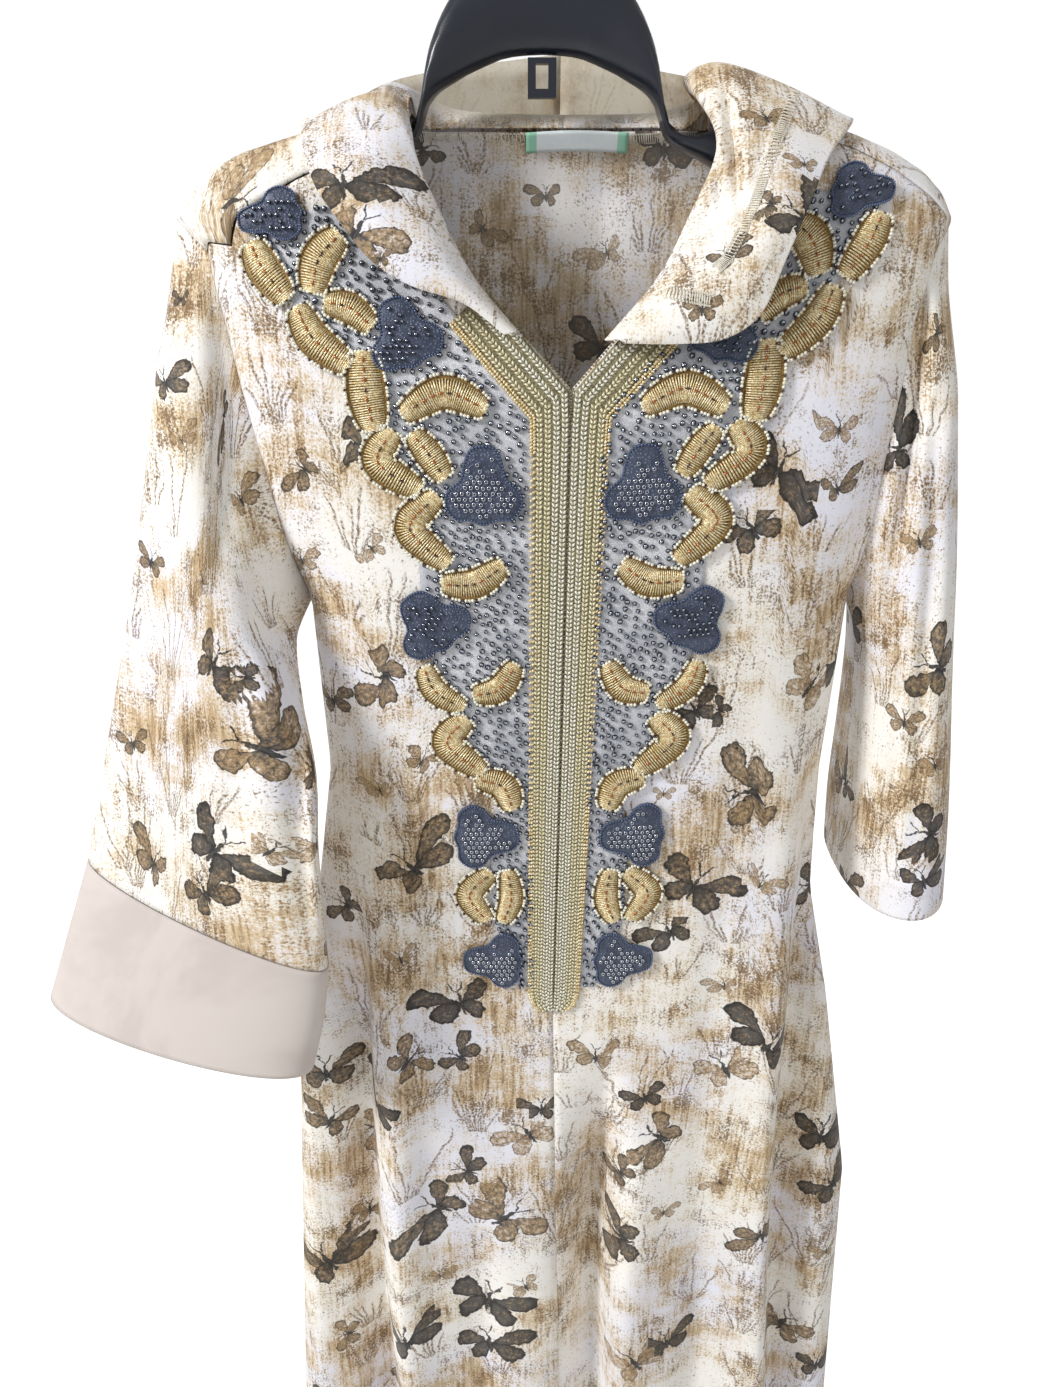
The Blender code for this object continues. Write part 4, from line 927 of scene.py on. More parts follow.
# %% Motif tables
# columns: across, down, span, turn, kind
MOTIFS = {
    "front_right": [
        (362, 458, 66, -20, 0.7), (370, 543, 30, 40, 0.1), (380, 670, 62, 70, 0.45), (408, 876, 72, 40, 0.6),
        (404, 960, 28, 20, 0.1), (458, 1006, 66, 15, 0.9), (455, 1052, 44, 60, 0.7), (412, 1062, 50, -60, 0.4),
        (440, 1210, 70, 55, 0.7), (470, 1178, 46, 70, 0.8), (505, 1215, 80, -50, 0.3), (440, 1272, 24, 0, 0.1),
        (484, 1304, 74, -15, 0.95), (529, 1291, 32, 30, 0.1), (491, 1339, 64, 10, 0.9), (533, 1141, 60, 35, 0.05),
        (546, 1116, 40, 0, 0.8), (372, 1102, 44, 0, 0.95), (376, 1138, 44, 90, 0.2), (332, 1262, 74, 30, 0.7),
        (330, 1074, 60, 0, 0.6), (335, 1118, 50, -30, 0.5), (408, 1346, 60, 20, 0.9), (350, 1340, 34, 90, 0.3),
        (300, 470, 40, 60, 0.5), (330, 700, 40, 20, 0.6), (420, 770, 34, -40, 0.3), (380, 790, 26, 20, 0.1),
        (300, 560, 36, 10, 0.2), (345, 905, 40, 60, 0.7), (370, 1210, 36, 0, 0.2),
    ],
    "front_left": [
        (782, 479, 80, -25, 0.9), (752, 530, 62, 35, 0.7), (845, 424, 40, 0, 0.1), (842, 498, 36, 20, 0.5),
        (814, 682, 62, -40, 0.05), (846, 655, 56, 20, 0.9), (746, 786, 76, 100, 0.4), (700, 716, 54, 30, 0.85),
        (722, 716, 34, 60, 0.95), (697, 890, 76, -25, 0.75), (672, 931, 52, 30, 0.85), (756, 883, 32, -20, 0.05),
        (667, 801, 20, 0, 0.1), (770, 1053, 66, -20, 0.95), (724, 1066, 60, 30, 0.05), (645, 1093, 40, 20, 0.9),
        (663, 1137, 60, 60, 0.4), (669, 1214, 26, 0, 0.1), (624, 1236, 56, 90, 0.75), (638, 1366, 64, 30, 0.05),
        (671, 1341, 50, 10, 0.95), (776, 1326, 56, -20, 0.3), (822, 1138, 60, 0, 0.9), (836, 1184, 52, 40, 0.85),
        (831, 1250, 24, 0, 0.1), (820, 1362, 44, 0, 0.9), (600, 1060, 44, 0, 0.2), (720, 990, 26, 0, 0.1),
        (815, 880, 40, 90, 0.8), (720, 1180, 30, 50, 0.1), (760, 1240, 46, 200, 0.5), (618, 1180, 36, 60, 0.6),
    ],
    "sleeve_right": [
        (214, 664, 72, -35, 0.65), (242, 680, 34, 80, 0.8), (186, 746, 28, -20, 0.1), (262, 750, 84, 60, 0.35),
        (216, 848, 84, -45, 0.9), (152, 862, 62, -30, 0.45), (206, 896, 66, 30, 0.65), (268, 852, 36, -40, 0.05),
        (226, 412, 54, 80, 0.7), (164, 380, 44, 20, 0.7), (180, 296, 22, 0, 0.8), (180, 440, 30, 30, 0.1),
        (318, 764, 40, 70, 0.8), (322, 842, 44, 0, 0.1), (245, 500, 40, 30, 0.2), (150, 560, 36, -20, 0.5),
        (200, 580, 30, 40, 0.1), (130, 740, 34, 20, 0.5),
    ],
    "sleeve_left": [
        (899, 452, 60, 80, 0.95), (938, 672, 70, 70, 0.6), (932, 832, 64, 80, 0.9), (922, 886, 50, 20, 0.85),
        (917, 540, 34, 20, 0.2), (940, 330, 34, 60, 0.6), (935, 770, 34, 20, 0.15), (900, 720, 40, 0, 0.3),
    ],
    "hood_right": [(340, 184, 84, 2, 0.85), (356, 236, 84, -40, 0.3), (380, 262, 24, 0, 0.5)],
    "hood_left": [
        (822, 232, 78, 60, 0.95), (770, 118, 44, 20, 0.3), (806, 164, 30, 0, 0.2), (728, 256, 40, 30, 0.6),
        (700, 312, 34, 0, 0.4), (768, 205, 36, 70, 0.6),
    ],
    "back": [
        (600, 243, 36, -20, 0.05), (606, 342, 60, 20, 0.8), (668, 152, 62, 0, 0.85), (424, 152, 44, 60, 0.8),
        (507, 134, 26, 0, 0.2), (490, 240, 34, 40, 0.3), (540, 200, 30, 0, 0.5),
    ],
}
MOTIF_REACH = 1.22       # a motif's square against its drawn span
MOTIF_TRIES = 1500
MOTIF_SPACE = 0.062      # least distance between the motifs of the hidden sides
SEEN_PIECES = ("front_left", "front_right", "hood_right", "hood_left")     # no others go where these are seen

# Creases by the photograph's frame, from top to bottom: points, width to each side, and depth in metres
CREASES = {
    "sleeve_right": [
        ([(212, 262), (226, 430), (214, 620)], 9, 20, 0.005),
        ([(184, 300), (160, 500), (146, 760)], 16, 12, 0.004),
        ([(286, 590), (302, 700), (300, 830), (312, 950)], 18, 8, 0.008),
        ([(244, 640), (240, 780), (228, 900)], 20, 12, 0.004),
    ],
    "sleeve_left": [
        ([(916, 262), (923, 325), (916, 393), (898, 560)], 6, 8, 0.012),
        ([(936, 380), (932, 560), (920, 720), (914, 880)], 8, 12, 0.006),
        ([(896, 520), (890, 700), (874, 880)], 10, 6, 0.007),
    ],
    "hood_left": [
        ([(727, 84), (732, 130), (738, 182), (744, 226)], 8, 5, 0.009),
        ([(702, 120), (716, 170), (726, 214)], 7, 9, 0.0035),
        ([(768, 120), (758, 180), (742, 240)], 9, 9, 0.0025),
    ],
    "back": [
        ([(604, 150), (596, 240), (588, 330)], 14, 18, 0.004),
        ([(478, 152), (500, 230), (526, 300)], 16, 12, 0.003),
    ],
}


def motif_rows(name, table, flat):
    """The motifs of one piece in its flat coordinates: place, half span, turn, kind and seed."""
    across, down, depth = seen_at(table)
    rows = []
    for number, (px, py, span, turn, kind) in enumerate(MOTIFS.get(name, [])):
        miss = np.hypot(across - px, down - py)
        near = np.where(miss < miss.min() + 3.0, depth, np.inf)
        i, j = np.unravel_index(np.argmin(near), near.shape)
        half = span * depth[i, j] / FOCAL / 2 * MOTIF_REACH
        rows.append((flat[i, j, 0], flat[i, j, 1], half, math.radians(turn), kind, (number * 0.37) % 1.0))
    rng = random.Random(name)
    low = flat.reshape(-1, 2).min(axis=0)
    high = flat.reshape(-1, 2).max(axis=0)
    for _ in range(MOTIF_TRIES):
        a = rng.uniform(low[0], high[0])
        b = rng.uniform(low[1], high[1])
        half = rng.choice((0.01, 0.016, 0.019, 0.021, 0.024))
        seen = name in SEEN_PIECES and near_view(a, b, flat, across, down)
        if seen or any(math.hypot(a - r[0], b - r[1]) < MOTIF_SPACE + half * 0.4 for r in rows):
            continue
        rows.append((a, b, half, rng.uniform(-1.2, 1.2), rng.choice((0.05, 0.3, 0.45, 0.7, 0.9)), rng.random()))
    return rows


def near_view(a, b, flat, across, down):
    """True where a flat place is seen from the front, so the listed motifs are enough."""
    miss = np.hypot(flat[..., 0] - a, flat[..., 1] - b)
    i, j = np.unravel_index(np.argmin(miss), miss.shape)
    return 0 < across[i, j] < PHOTO[0] and 0 < down[i, j] < PHOTO[1]


# %% [markdown]
# Each piece of cloth is a fine grid on its solid's form. Its flat coordinates are lengths along the cloth,
# which carry the print. Each cell takes the nearest motif, in that motif's own square.

# %% Cloth pieces
FRONT_GRID = (56, 168)
SLEEVE_GRID = (96, 64)
HOOD_GRID = (110, 55)


def lengths_along(table, axis, parts, shares=1.0):
    """Distances along one axis of a grid of points, counting shares of the named parts of each step."""
    steps = np.linalg.norm(np.diff(table[..., parts], axis=axis) * shares, axis=-1)
    start = np.zeros_like(np.take(steps, [0], axis=axis))
    return np.concatenate([start, np.cumsum(steps, axis=axis)], axis=axis)


def around_tube(table, anchor):
    """Flat coordinates of a sleeve: the way round an oval at each level, from its front, and the level."""
    z = table[..., 2]
    outer, inner = table[len(table) // 2], table[0]
    outer_x = np.interp(z, outer[:, 2], outer[:, 0])
    inner_x = np.interp(z, inner[:, 2], inner[:, 0])
    middle_y = np.interp(z, outer[:, 2], (outer[:, 1] + inner[:, 1]) / 2)
    deep = np.interp(z, outer[:, 2], np.ptp(table[..., 1], axis=0) / 2)
    wide = np.abs(outer_x - inner_x) / 2
    middle_x = (outer_x + inner_x) / 2
    angle = np.unwrap(np.arctan2((table[..., 0] - middle_x) / wide, (middle_y - table[..., 1]) / deep), axis=0)
    angle -= 2.0 * math.pi * np.round(angle[anchor:anchor + 1] / (2.0 * math.pi))
    steps = angle[None] * np.linspace(0.0, 1.0, 25)[:, None, None]
    arc = np.hypot(wide * np.cos(steps), deep * np.sin(steps)).mean(axis=0) * angle
    return np.stack([middle_x + arc, z], axis=-1)


def cloth_grid(name, columns, rows, place, anchor=0, closed=False, materials=None, offset=(0.0, 0.0), level=False):
    table = np.array([[place(i / columns, j / rows) for j in range(rows + 1)] for i in range(columns + 1)])
    table[..., 0] += SHIFT_X
    across = lengths_along(table, 0, (0, 1), (1.0, 0.35))
    across = table[anchor:anchor + 1, :, 0] + across - across[anchor:anchor + 1, :]
    up = table[:, :1, 2] + lengths_along(table, 1, (1, 2))
    flat = np.stack([across, up], axis=-1)
    if closed:
        flat = around_tube(table, anchor)
    if level:            # the print runs straight across what faces front, and on over the shoulder
        flat = np.stack([table[..., 0], table[..., 2] + 0.9 * table[..., 1]], axis=-1)
    motifs = motif_rows(name, table, flat)
    table = pressed(name, table, closed)
    centres = np.array([row[:2] for row in motifs])
    sizes = np.array([row[2] for row in motifs])

    bm = bmesh.new()
    bmesh.ops.create_grid(bm, x_segments=columns, y_segments=rows, size=0.5)
    cloth_uv = bm.loops.layers.uv.new("Cloth")
    motif_uv = bm.loops.layers.uv.new("Motif")
    kind_uv = bm.loops.layers.uv.new("Kind")
    cells = {vert: (round((vert.co.x + 0.5) * columns), round((vert.co.y + 0.5) * rows)) for vert in bm.verts}
    for face in bm.faces:
        corners = [flat[cells[loop.vert]] for loop in face.loops]
        middle = sum(corners) / len(corners)
        nearest = int(np.argmin(np.hypot(*(centres - middle).T) / sizes))
        a, b, half, turn, kind, seed = motifs[nearest]
        cos, sin = math.cos(turn), math.sin(turn)
        for loop, corner in zip(face.loops, corners):
            loop[cloth_uv].uv = (corner[0] + offset[0], corner[1] + offset[1])
            da, db = (corner[0] - a) / half, (corner[1] - b) / half
            loop[motif_uv].uv = (da * cos + db * sin, db * cos - da * sin)
            loop[kind_uv].uv = (kind, seed)
    for vert in bm.verts:
        vert.co = Vector(table[cells[vert]])
    if closed:
        bmesh.ops.remove_doubles(bm, verts=bm.verts, dist=0.00002)
    piece = new_piece("cloth_" + name, bm, materials or (PRINT, WRONG_SIDE))
    wall = piece.modifiers.new("Wall", "SOLIDIFY")
    wall.thickness = WALL
    wall.offset = -1.0
    wall.use_even_offset = False
    wall.material_offset = 1
    wall.material_offset_rim = 0
    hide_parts(name)
    return piece, table


def pressed(name, table, closed):
    """Push the cloth back along its creases. On a tube only the near side moves."""
    across, down, depth = seen_at(table)
    total = np.zeros(across.shape)
    for points, wide_left, wide_right, deep in CREASES.get(name, []):
        xs, ys = zip(*points)
        aside = across - np.interp(down, ys, xs)
        wide = np.where(aside < 0, wide_left, wide_right)
        run = np.clip((down - ys[0]) / (ys[-1] - ys[0]), 0.0, 1.0)
        total += deep * np.exp(-(aside / wide) ** 2) * np.sin(math.pi * run) ** 0.6
    if closed:
        total *= np.clip((depth.mean(axis=0, keepdims=True) - depth) / 0.02, 0.0, 1.0)
    away = table - np.array(CAMERA_PLACE)
    away /= np.linalg.norm(away, axis=-1, keepdims=True)
    return table + away * total[..., None]


def print_area(piece):
    return sum(polygon.area for polygon in piece.data.polygons)


def front_grid(side):
    def place(u, v):
        across = u if side > 0 else 1.0 - u
        x, z = front_place(side, across, v)
        return (x, min(front_y(x, z), -EDGE_SET_BACK), z)

    name = "front_left" if side > 0 else "front_right"
    anchor = 0 if side > 0 else FRONT_GRID[0]
    return cloth_grid(name, *FRONT_GRID, place, anchor=anchor, offset=(side * 0.004, 0.0))


def sleeve_grid(name, side, rows):
    around = SLEEVE_GRID[0]
    armhole = resample(armhole_loop(side), around)

    def place(u, v):
        along = 1.0 - v
        angle = 2.0 * math.pi * u * side
        index = round(u * around) * side % around
        point = ring_point(rows, angle, along)
        hold = 1.0 - smooth(along / JOIN_SHARE)
        start = armhole[index] + Vector((side * ARMHOLE_GAP, 0.0, 0.0))
        return point + (start - ring_point(rows, angle, 0.0)) * hold

    front = around // 4 if side > 0 else around * 3 // 4
    return cloth_grid(name, *SLEEVE_GRID, place, anchor=front, closed=True, offset=(side * 1.3, 0.4))


def hood_grid(name, side, stations):
    tracks = [[neck_seam_point(side, station) for station in stations]]
    for column in range(1, 6):
        tracks.append([Vector(station[column]) for station in stations])

    def place(u, v):
        along = u if side > 0 else 1.0 - u
        point = spline([spline(track, along) for track in tracks], v)
        if abs(point.x) < 0.006:     # the two halves meet at the centre back
            point.x -= side * 0.0011 * (1.0 - smooth((abs(point.x) - 0.0012) / 0.005))
        return point

    return cloth_grid(name, *HOOD_GRID, place, offset=(side * 2.1, 1.9), materials=(PRINT, HOOD_INSIDE), level=True)


def cuff_place(u, v):
    return ring_point(CUFF_ROWS, -2.0 * math.pi * u, 1.0 - v)


# %% [markdown]
# The hood's inside is the plain wrong side, and the cuff is a plain taupe facing.

# %% Plain cloths
def plain_material(name, tone, other):
    material, w, shader = new_material(name, Roughness=0.78, Sheen_Weight=0.2, Sheen_Roughness=0.45)
    cloth = w.node("ShaderNodeUVMap")
    cloth.uv_map = "Cloth"
    patches = w.fade(w.noise(cloth.outputs[0], 14.0, 4.0, 0.6), 0.4, 0.64)
    w.put(shader["Base Color"], w.mix(patches, linear(tone), linear(other)))
    crepe = w.node("ShaderNodeGroup")
    crepe.node_tree = bpy.data.node_groups["Crepe"]
    w.put(crepe.inputs["Place"], cloth.outputs[0])
    w.bump(shader, crepe.outputs["Height"], 0.3, 0.0004)
    return material


FACING = plain_material("taupe facing", "D3C9C3", "C9BEB8")
HOOD_INSIDE = crepe_material("hood facing and wrong side", 0.0, "FFFFFF")
w = Wires(HOOD_INSIDE.node_tree)
shader = HOOD_INSIDE.node_tree.nodes["Principled BSDF"].inputs
_, depth_y, _ = w.split(w.here())
patches = w.fade(w.noise(w.here(), 30.0, 4.0, 0.6), 0.45, 0.7)
plain = w.mix(patches, linear("C4BBA8"), linear("A08C6E"))
printed = shader["Base Color"].links[0].from_socket
w.put(shader["Base Color"], w.mix(w.fade(depth_y, 0.02, 0.034, 0.0, 0.85), printed, plain))

made = {
    "front_left": front_grid(1),
    "front_right": front_grid(-1),
    "back": cloth_grid("back", 90, 130, back_place, anchor=45, offset=(0.0, 3.1)),
    "sleeve_right": sleeve_grid("sleeve_right", -1, SLEEVE_RIGHT_ROWS),
    "sleeve_left": sleeve_grid("sleeve_left", 1, SLEEVE_LEFT_ROWS),
    "cuff_right": cloth_grid("cuff_right", 96, 16, cuff_place, closed=True, materials=(FACING, FACING)),
    "hood_right": hood_grid("hood_right", -1, HOOD_RIGHT_STATIONS),
    "hood_left": hood_grid("hood_left", 1, HOOD_LEFT_STATIONS),
}
cloths = {name: piece for name, (piece, _) in made.items()}
tables = {name: table for name, (_, table) in made.items()}
for name, piece in cloths.items():
    print("cloth", name, "area", round(print_area(piece), 3))

# %% [markdown]
# The bib: everything on it is set on the fronts by a frame at a place, its two directions along
# the cloth and the way out. Many small things are one mesh each, stamped from a small template.

# %% Stamping
def surface_frame(side, out, z, lift, turn=0.0):
    """A place on the front and its three directions: across, up and out, turned in its plane."""
    step = 0.0015
    place = on_front(side, out, z, lift)
    across = (on_front(side, out + step, z, lift) - on_front(side, out - step, z, lift)).normalized()
    up = (on_front(side, out, z + step, lift) - on_front(side, out, z - step, lift)).normalized()
    away = across.cross(up) if side > 0 else up.cross(across)
    if away.y > 0:
        away = -away
    cos, sin = math.cos(turn), math.sin(turn)
    first = across * cos + up * sin
    second = up * cos - across * sin
    return Vector((place.x + SHIFT_X, place.y, place.z)), first, second, away.normalized()


def stamp(name, template, frames, materials):
    """One mesh of a template set at every frame: (place, first, second, away, sizes)."""
    points, faces, slots = template
    points = np.array(points, dtype=float)
    count = len(points)
    verts = np.empty((len(frames) * count, 3))
    polygons = []
    indices = []
    for k, (place, first, second, away, sizes) in enumerate(frames):
        scaled = points * np.array(sizes)
        verts[k * count:(k + 1) * count] = (np.array(place) + scaled[:, :1] * np.array(first)
                                            + scaled[:, 1:2] * np.array(second) + scaled[:, 2:] * np.array(away))
        flip = np.array(first).dot(np.cross(np.array(second), np.array(away))) < 0
        for face in faces:
            polygons.append(tuple(k * count + i for i in (face[::-1] if flip else face)))
        indices.extend(slots)
    mesh = bpy.data.meshes.new(name)
    mesh.from_pydata(verts.tolist(), [], polygons)
    for material in materials:
        mesh.materials.append(material)
    mesh.polygons.foreach_set("material_index", indices)
    mesh.shade_smooth()
    piece = bpy.data.objects.new(name, mesh)
    bpy.context.scene.collection.objects.link(piece)
    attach(piece, "root")
    print("piece", name, "faces", len(polygons))
    return piece


def template(shape, *values):
    """A small shape made once with mesh operators, kept as points, faces and slots for stamping."""
    bm = bmesh.new()
    shape(bm, *values)
    bm.verts.index_update()
    points = [tuple(vert.co) for vert in bm.verts]
    faces = [tuple(vert.index for vert in face.verts) for face in bm.faces]
    slots = [face.material_index for face in bm.faces]
    bm.free()
    return points, faces, slots


# %% [markdown]
# Shapes in units of their own radius, standing on the cloth: a cut bead is a low ball whose top has a
# light silvered facet on one side, a painted glint, a stone is a ring with a sunk middle, a coil is a short
# rod that arches over the padding, and a chain stitch is two leaves that meet at the bottom.

# %% Small shapes
def ball(bm, around, high, flat, glint_above):
    bmesh.ops.create_uvsphere(bm, u_segments=around, v_segments=high, radius=1.0)
    bmesh.ops.scale(bm, verts=bm.verts, vec=(1.0, 1.0, flat))
    bmesh.ops.translate(bm, verts=bm.verts, vec=(0.0, 0.0, flat * 0.7))
    for face in bm.faces:
        middle = face.calc_center_median()
        # faces near the top on one side take the second slot: a light silvered facet that is a painted glint
        face.material_index = int(middle.z > glint_above and middle.y > abs(middle.x) * 0.3)


def set_stone(bm):
    bmesh.ops.create_cone(bm, cap_ends=True, segments=8, radius1=1.0, radius2=0.9, depth=0.8)
    bmesh.ops.translate(bm, verts=bm.verts, vec=(0.0, 0.0, 0.4))
    top = max(bm.faces, key=lambda face: face.calc_center_median().z)
    bmesh.ops.inset_region(bm, faces=[top], thickness=0.3, depth=-0.12)
    top.material_index = 1


def arched_rod(bm):
    bmesh.ops.create_cone(bm, cap_ends=True, segments=6, radius1=1.0, radius2=1.0, depth=1.0,
                          matrix=Matrix.Rotation(math.pi / 2, 4, "Y"))
    for x in (-0.25, 0.0, 0.25):
        geometry = bm.verts[:] + bm.edges[:] + bm.faces[:]
        bmesh.ops.bisect_plane(bm, geom=geometry, plane_co=(x, 0.0, 0.0), plane_no=(1.0, 0.0, 0.0))
    for vert in bm.verts:
        if abs(vert.co.x) > 0.49:
            vert.co.yz *= 0.55
        vert.co.z += 1.0 - (2.0 * vert.co.x) ** 2


def leaf_pair(bm, lean):
    centre = (0.0, 0.0, 0.0)
    for angle in (-math.radians(lean), math.radians(lean)):
        leaf = bmesh.ops.create_uvsphere(bm, u_segments=4, v_segments=2, radius=0.5)["verts"]
        bmesh.ops.rotate(bm, verts=leaf, cent=centre, matrix=Matrix.Rotation(math.pi / 2, 3, "X"))
        bmesh.ops.scale(bm, verts=leaf, vec=(0.5, 1.0, 0.62))
        bmesh.ops.translate(bm, verts=leaf, vec=(0.0, 0.5, 0.1))
        bmesh.ops.rotate(bm, verts=leaf, cent=centre, matrix=Matrix.Rotation(angle, 3, "Z"))


# each bead's light top facet on one side is a painted glint; seeds are set too high to get one
BEAD = template(ball, 8, 5, 0.85, 1.15)
SEED = template(ball, 6, 4, 0.85, 9.0)
STONE = template(set_stone)
COIL = template(arched_rod)
CHAIN = template(leaf_pair, 31)

# %% [markdown]
# Materials of the trim: metal threads, beads, stones, bead-covered felt and the grey net.

# %% Trim materials
def thread_material(name, dark, light, metallic, roughness, scale=900.0):
    """Metal thread: its colour shifts from strand to strand."""
    material, w, shader = new_material(name, Metallic=metallic, Roughness=roughness)
    place = w.here()
    share = w.fade(w.noise(place, scale, 2.0, 0.7), 0.35, 0.65)
    w.put(shader["Base Color"], w.mix(share, linear(dark), linear(light)))
    w.bump(shader, w.noise(place, scale * 2.2, 2.0), 0.6, 0.0003)
    return material


GOLD = thread_material("gold thread", "BE9C56", "FFF5D2", 0.25, 0.34)
GOLD_DARK = thread_material("old gold", "5E4520", "9A7A3C", 0.3, 0.5)
SILVER = thread_material("silver gold thread", "D8D2B4", "FFFFF8", 0.08, 0.36)
KHAKI = thread_material("khaki thread", "CFC49A", "FFF8DC", 0.08, 0.4)
BRAID_GROUND = thread_material("braid ground", "5C563F", "9C9370", 0.1, 0.6)

# columns: name, colour, roughness, metallic, coat
HARD_ROWS = [
    ("slate bead", "1E2431", 0.12, 0.0, 0.5),
    # the cut bead's light silvered facet is a painted highlight, a glint on each bead
    ("cut bead painted glint", "C9D2E2", 0.1, 0.8, 0.0),
    ("silver setting", "D8DCE4", 0.22, 0.9, 0.0),
    ("slate stone", "2B3346", 0.1, 0.1, 0.6),
    ("blue seed bead", "4F5E7E", 0.3, 0.0, 0.3),
    ("brown bead", "4B2E1B", 0.18, 0.4, 0.6),
    ("copper bugle", "A9673C", 0.25, 0.6, 0.0),
]
BEAD_DARK, BEAD_GLINT, STONE_RING, STONE_TOP, SEED_BLUE, SEED_BROWN, COPPER = [
    new_material(name, Base_Color=linear(colour), Roughness=roughness, Metallic=metallic, Coat_Weight=coat)[0]
    for name, colour, roughness, metallic, coat in HARD_ROWS]


def felt_material():
    """Slate felt under close rows of tiny beads."""
    material, w, shader = new_material("beaded felt", Roughness=0.45, Metallic=0.15, Sheen_Weight=0.2)
    place = w.here()
    cell = w.cells(place, 620.0)
    tone = w.noise(place, 120.0, 3.0, 0.6)
    base = w.mix(w.fade(tone, 0.35, 0.65), linear("465069"), linear("6E7A94"))
    w.put(shader["Base Color"], w.mix(w.fade(cell, 0.1, 0.5, 0.0, 0.75), base, linear("2C3446")))
    w.bump(shader, w.fade(cell, 0.6, 0.0), 0.9, 0.0006)
    return material


def net_material():
    """Fine grey net on the cloth, with the light cloth showing in soft patches."""
    material, w, shader = new_material("grey net", Roughness=0.62, Sheen_Weight=0.2)
    place = w.here()
    patches = w.fade(w.noise(place, 34.0, 3.0, 0.6), 0.4, 0.62)
    mesh_cells = w.fade(w.cells(place, 1100.0), 0.25, 0.55)
    tone = w.mix(patches, linear("C6C8CE"), linear("F2F2F6"))
    w.put(shader["Base Color"], w.mix(w.times(mesh_cells, 0.6), tone, linear("A8AAB2")))
    w.bump(shader, mesh_cells, 0.4, 0.0003)
    return material


FELT = felt_material()
NET = net_material()

# %% [markdown]
# Net: a fine band that runs in under the braid, with an uneven scatter of cut beads.

# %% Net and beads
BEAD_R = 0.00175
BEAD_SPACE = 0.004
BEAD_COUNT = 680
BEAD_TRIES = 9000


def patch_piece(name, columns, rows, place, thickness, material):
    """A band of cloth or trim as a fine grid with a wall."""
    bm = bmesh.new()
    bmesh.ops.create_grid(bm, x_segments=columns, y_segments=rows, size=0.5)
    for vert in bm.verts:
        point = place(vert.co.x + 0.5, vert.co.y + 0.5)
        vert.co = Vector((point[0] + SHIFT_X, point[1], point[2]))
    piece = new_piece(name, bm, [material])
    wall = piece.modifiers.new("Wall", "SOLIDIFY")
    wall.thickness = thickness
    wall.offset = 1.0
    return piece


def net_edges(v):
    """The net's two edges. It runs in under the braid wherever the braid stands."""
    inner, outer = band_edges(NET_ROWS, v)
    edge = np.interp(inner.y, [row[3] for row in BRAID_ROWS], [row[2] for row in BRAID_ROWS], right=1.0)
    return Vector((min(inner.x, edge - 0.005), inner.y)), outer


BELL_SCALE = 1.08


def bell_shape(row):
    """The bell's outline as points out from the centre front."""
    out, z, width, height, turn = row
    width, height = width * BELL_SCALE, height * BELL_SCALE
    angle = math.radians(turn)
    half = BELL_OUTLINE
    outline = half + [(-a, b) for a, b in half[-2:0:-1]]
    return [(out + a * width * math.cos(angle) + b * height * math.sin(angle),
             z - a * width * math.sin(angle) + b * height * math.cos(angle)) for a, b in outline]


def inside(points, x, y):
    """True inside a closed outline."""
    hit = False
    for (x0, y0), (x1, y1) in zip(points, points[1:] + points[:1]):
        if (y0 > y) != (y1 > y) and x < (x1 - x0) * (y - y0) / (y1 - y0) + x0:
            hit = not hit
    return hit


PETAL_LONGER = 0.003


def petal_rib(row, t):
    """A petal's middle line, the direction across it and its half width."""
    start, middle, end, width = row
    start, middle, end = Vector(start), Vector(middle), Vector(end)
    first, last = (tip + (tip - middle).normalized() * PETAL_LONGER for tip in (start, end))
    ends = [first, middle, last]
    ahead = spline(ends, min(1.0, t + 0.02))
    behind = spline(ends, max(0.0, t - 0.02))
    along = (ahead - behind).normalized()
    half = width / 2 * (0.36 + 0.64 * math.sin(math.pi * min(max(t, 0.0), 1.0)) ** 0.7)
    return spline(ends, t), Vector((-along.y, along.x)), half


def petal_shape(row, grow=0.0):
    one = []
    two = []
    for i in range(13):
        centre, across, half = petal_rib(row, i / 12)
        one.append(tuple(centre + across * (half + grow)))
        two.append(tuple(centre - across * (half + grow)))
    return one + two[::-1]


def net_side(side, word):
    def place(u, v):
        across = u if side > 0 else 1.0 - u
        inner, outer = net_edges(v)
        out_place = inner.lerp(outer, across)
        return on_front(side, out_place.x, out_place.y, OVERLAY_GAP * 0.6)

    net = patch_piece("bib_net_" + word, 20, 110, place, 0.0005, NET)
    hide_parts("net_" + word)
    rng = random.Random(word)
    blocks = [bell_shape(row) for row in BELLS] + [petal_shape(row, 0.003) for row in PETALS]
    braid_edge = [(row[3], row[2] + 0.0022) for row in BRAID_ROWS]
    places = []
    for _ in range(BEAD_TRIES):
        if len(places) == BEAD_COUNT:
            break
        v = rng.random()
        inner, outer = net_edges(v)
        spot = inner.lerp(outer, rng.uniform(0.0, 0.97))
        if spot.x < np.interp(spot.y, *zip(*braid_edge)):
            continue
        if any(math.hypot(spot.x - a, spot.y - b) < BEAD_SPACE for a, b in places):
            continue
        if any(inside(block, spot.x, spot.y) for block in blocks):
            continue
        places.append((spot.x, spot.y))
    frames = []
    for a, b in places:
        size = BEAD_R * rng.uniform(0.75, 1.12)
        frame_at = surface_frame(side, a, b, OVERLAY_GAP * 0.6 + 0.0005, rng.uniform(0, 1.5))
        frames.append((*frame_at, (size, size, size)))
    beads = stamp("bib_beads_" + word, BEAD, frames, [BEAD_DARK, BEAD_GLINT])


# %% [markdown]
# Bells: a domed patch of beaded felt, edged with seed beads, with rows of set stones.

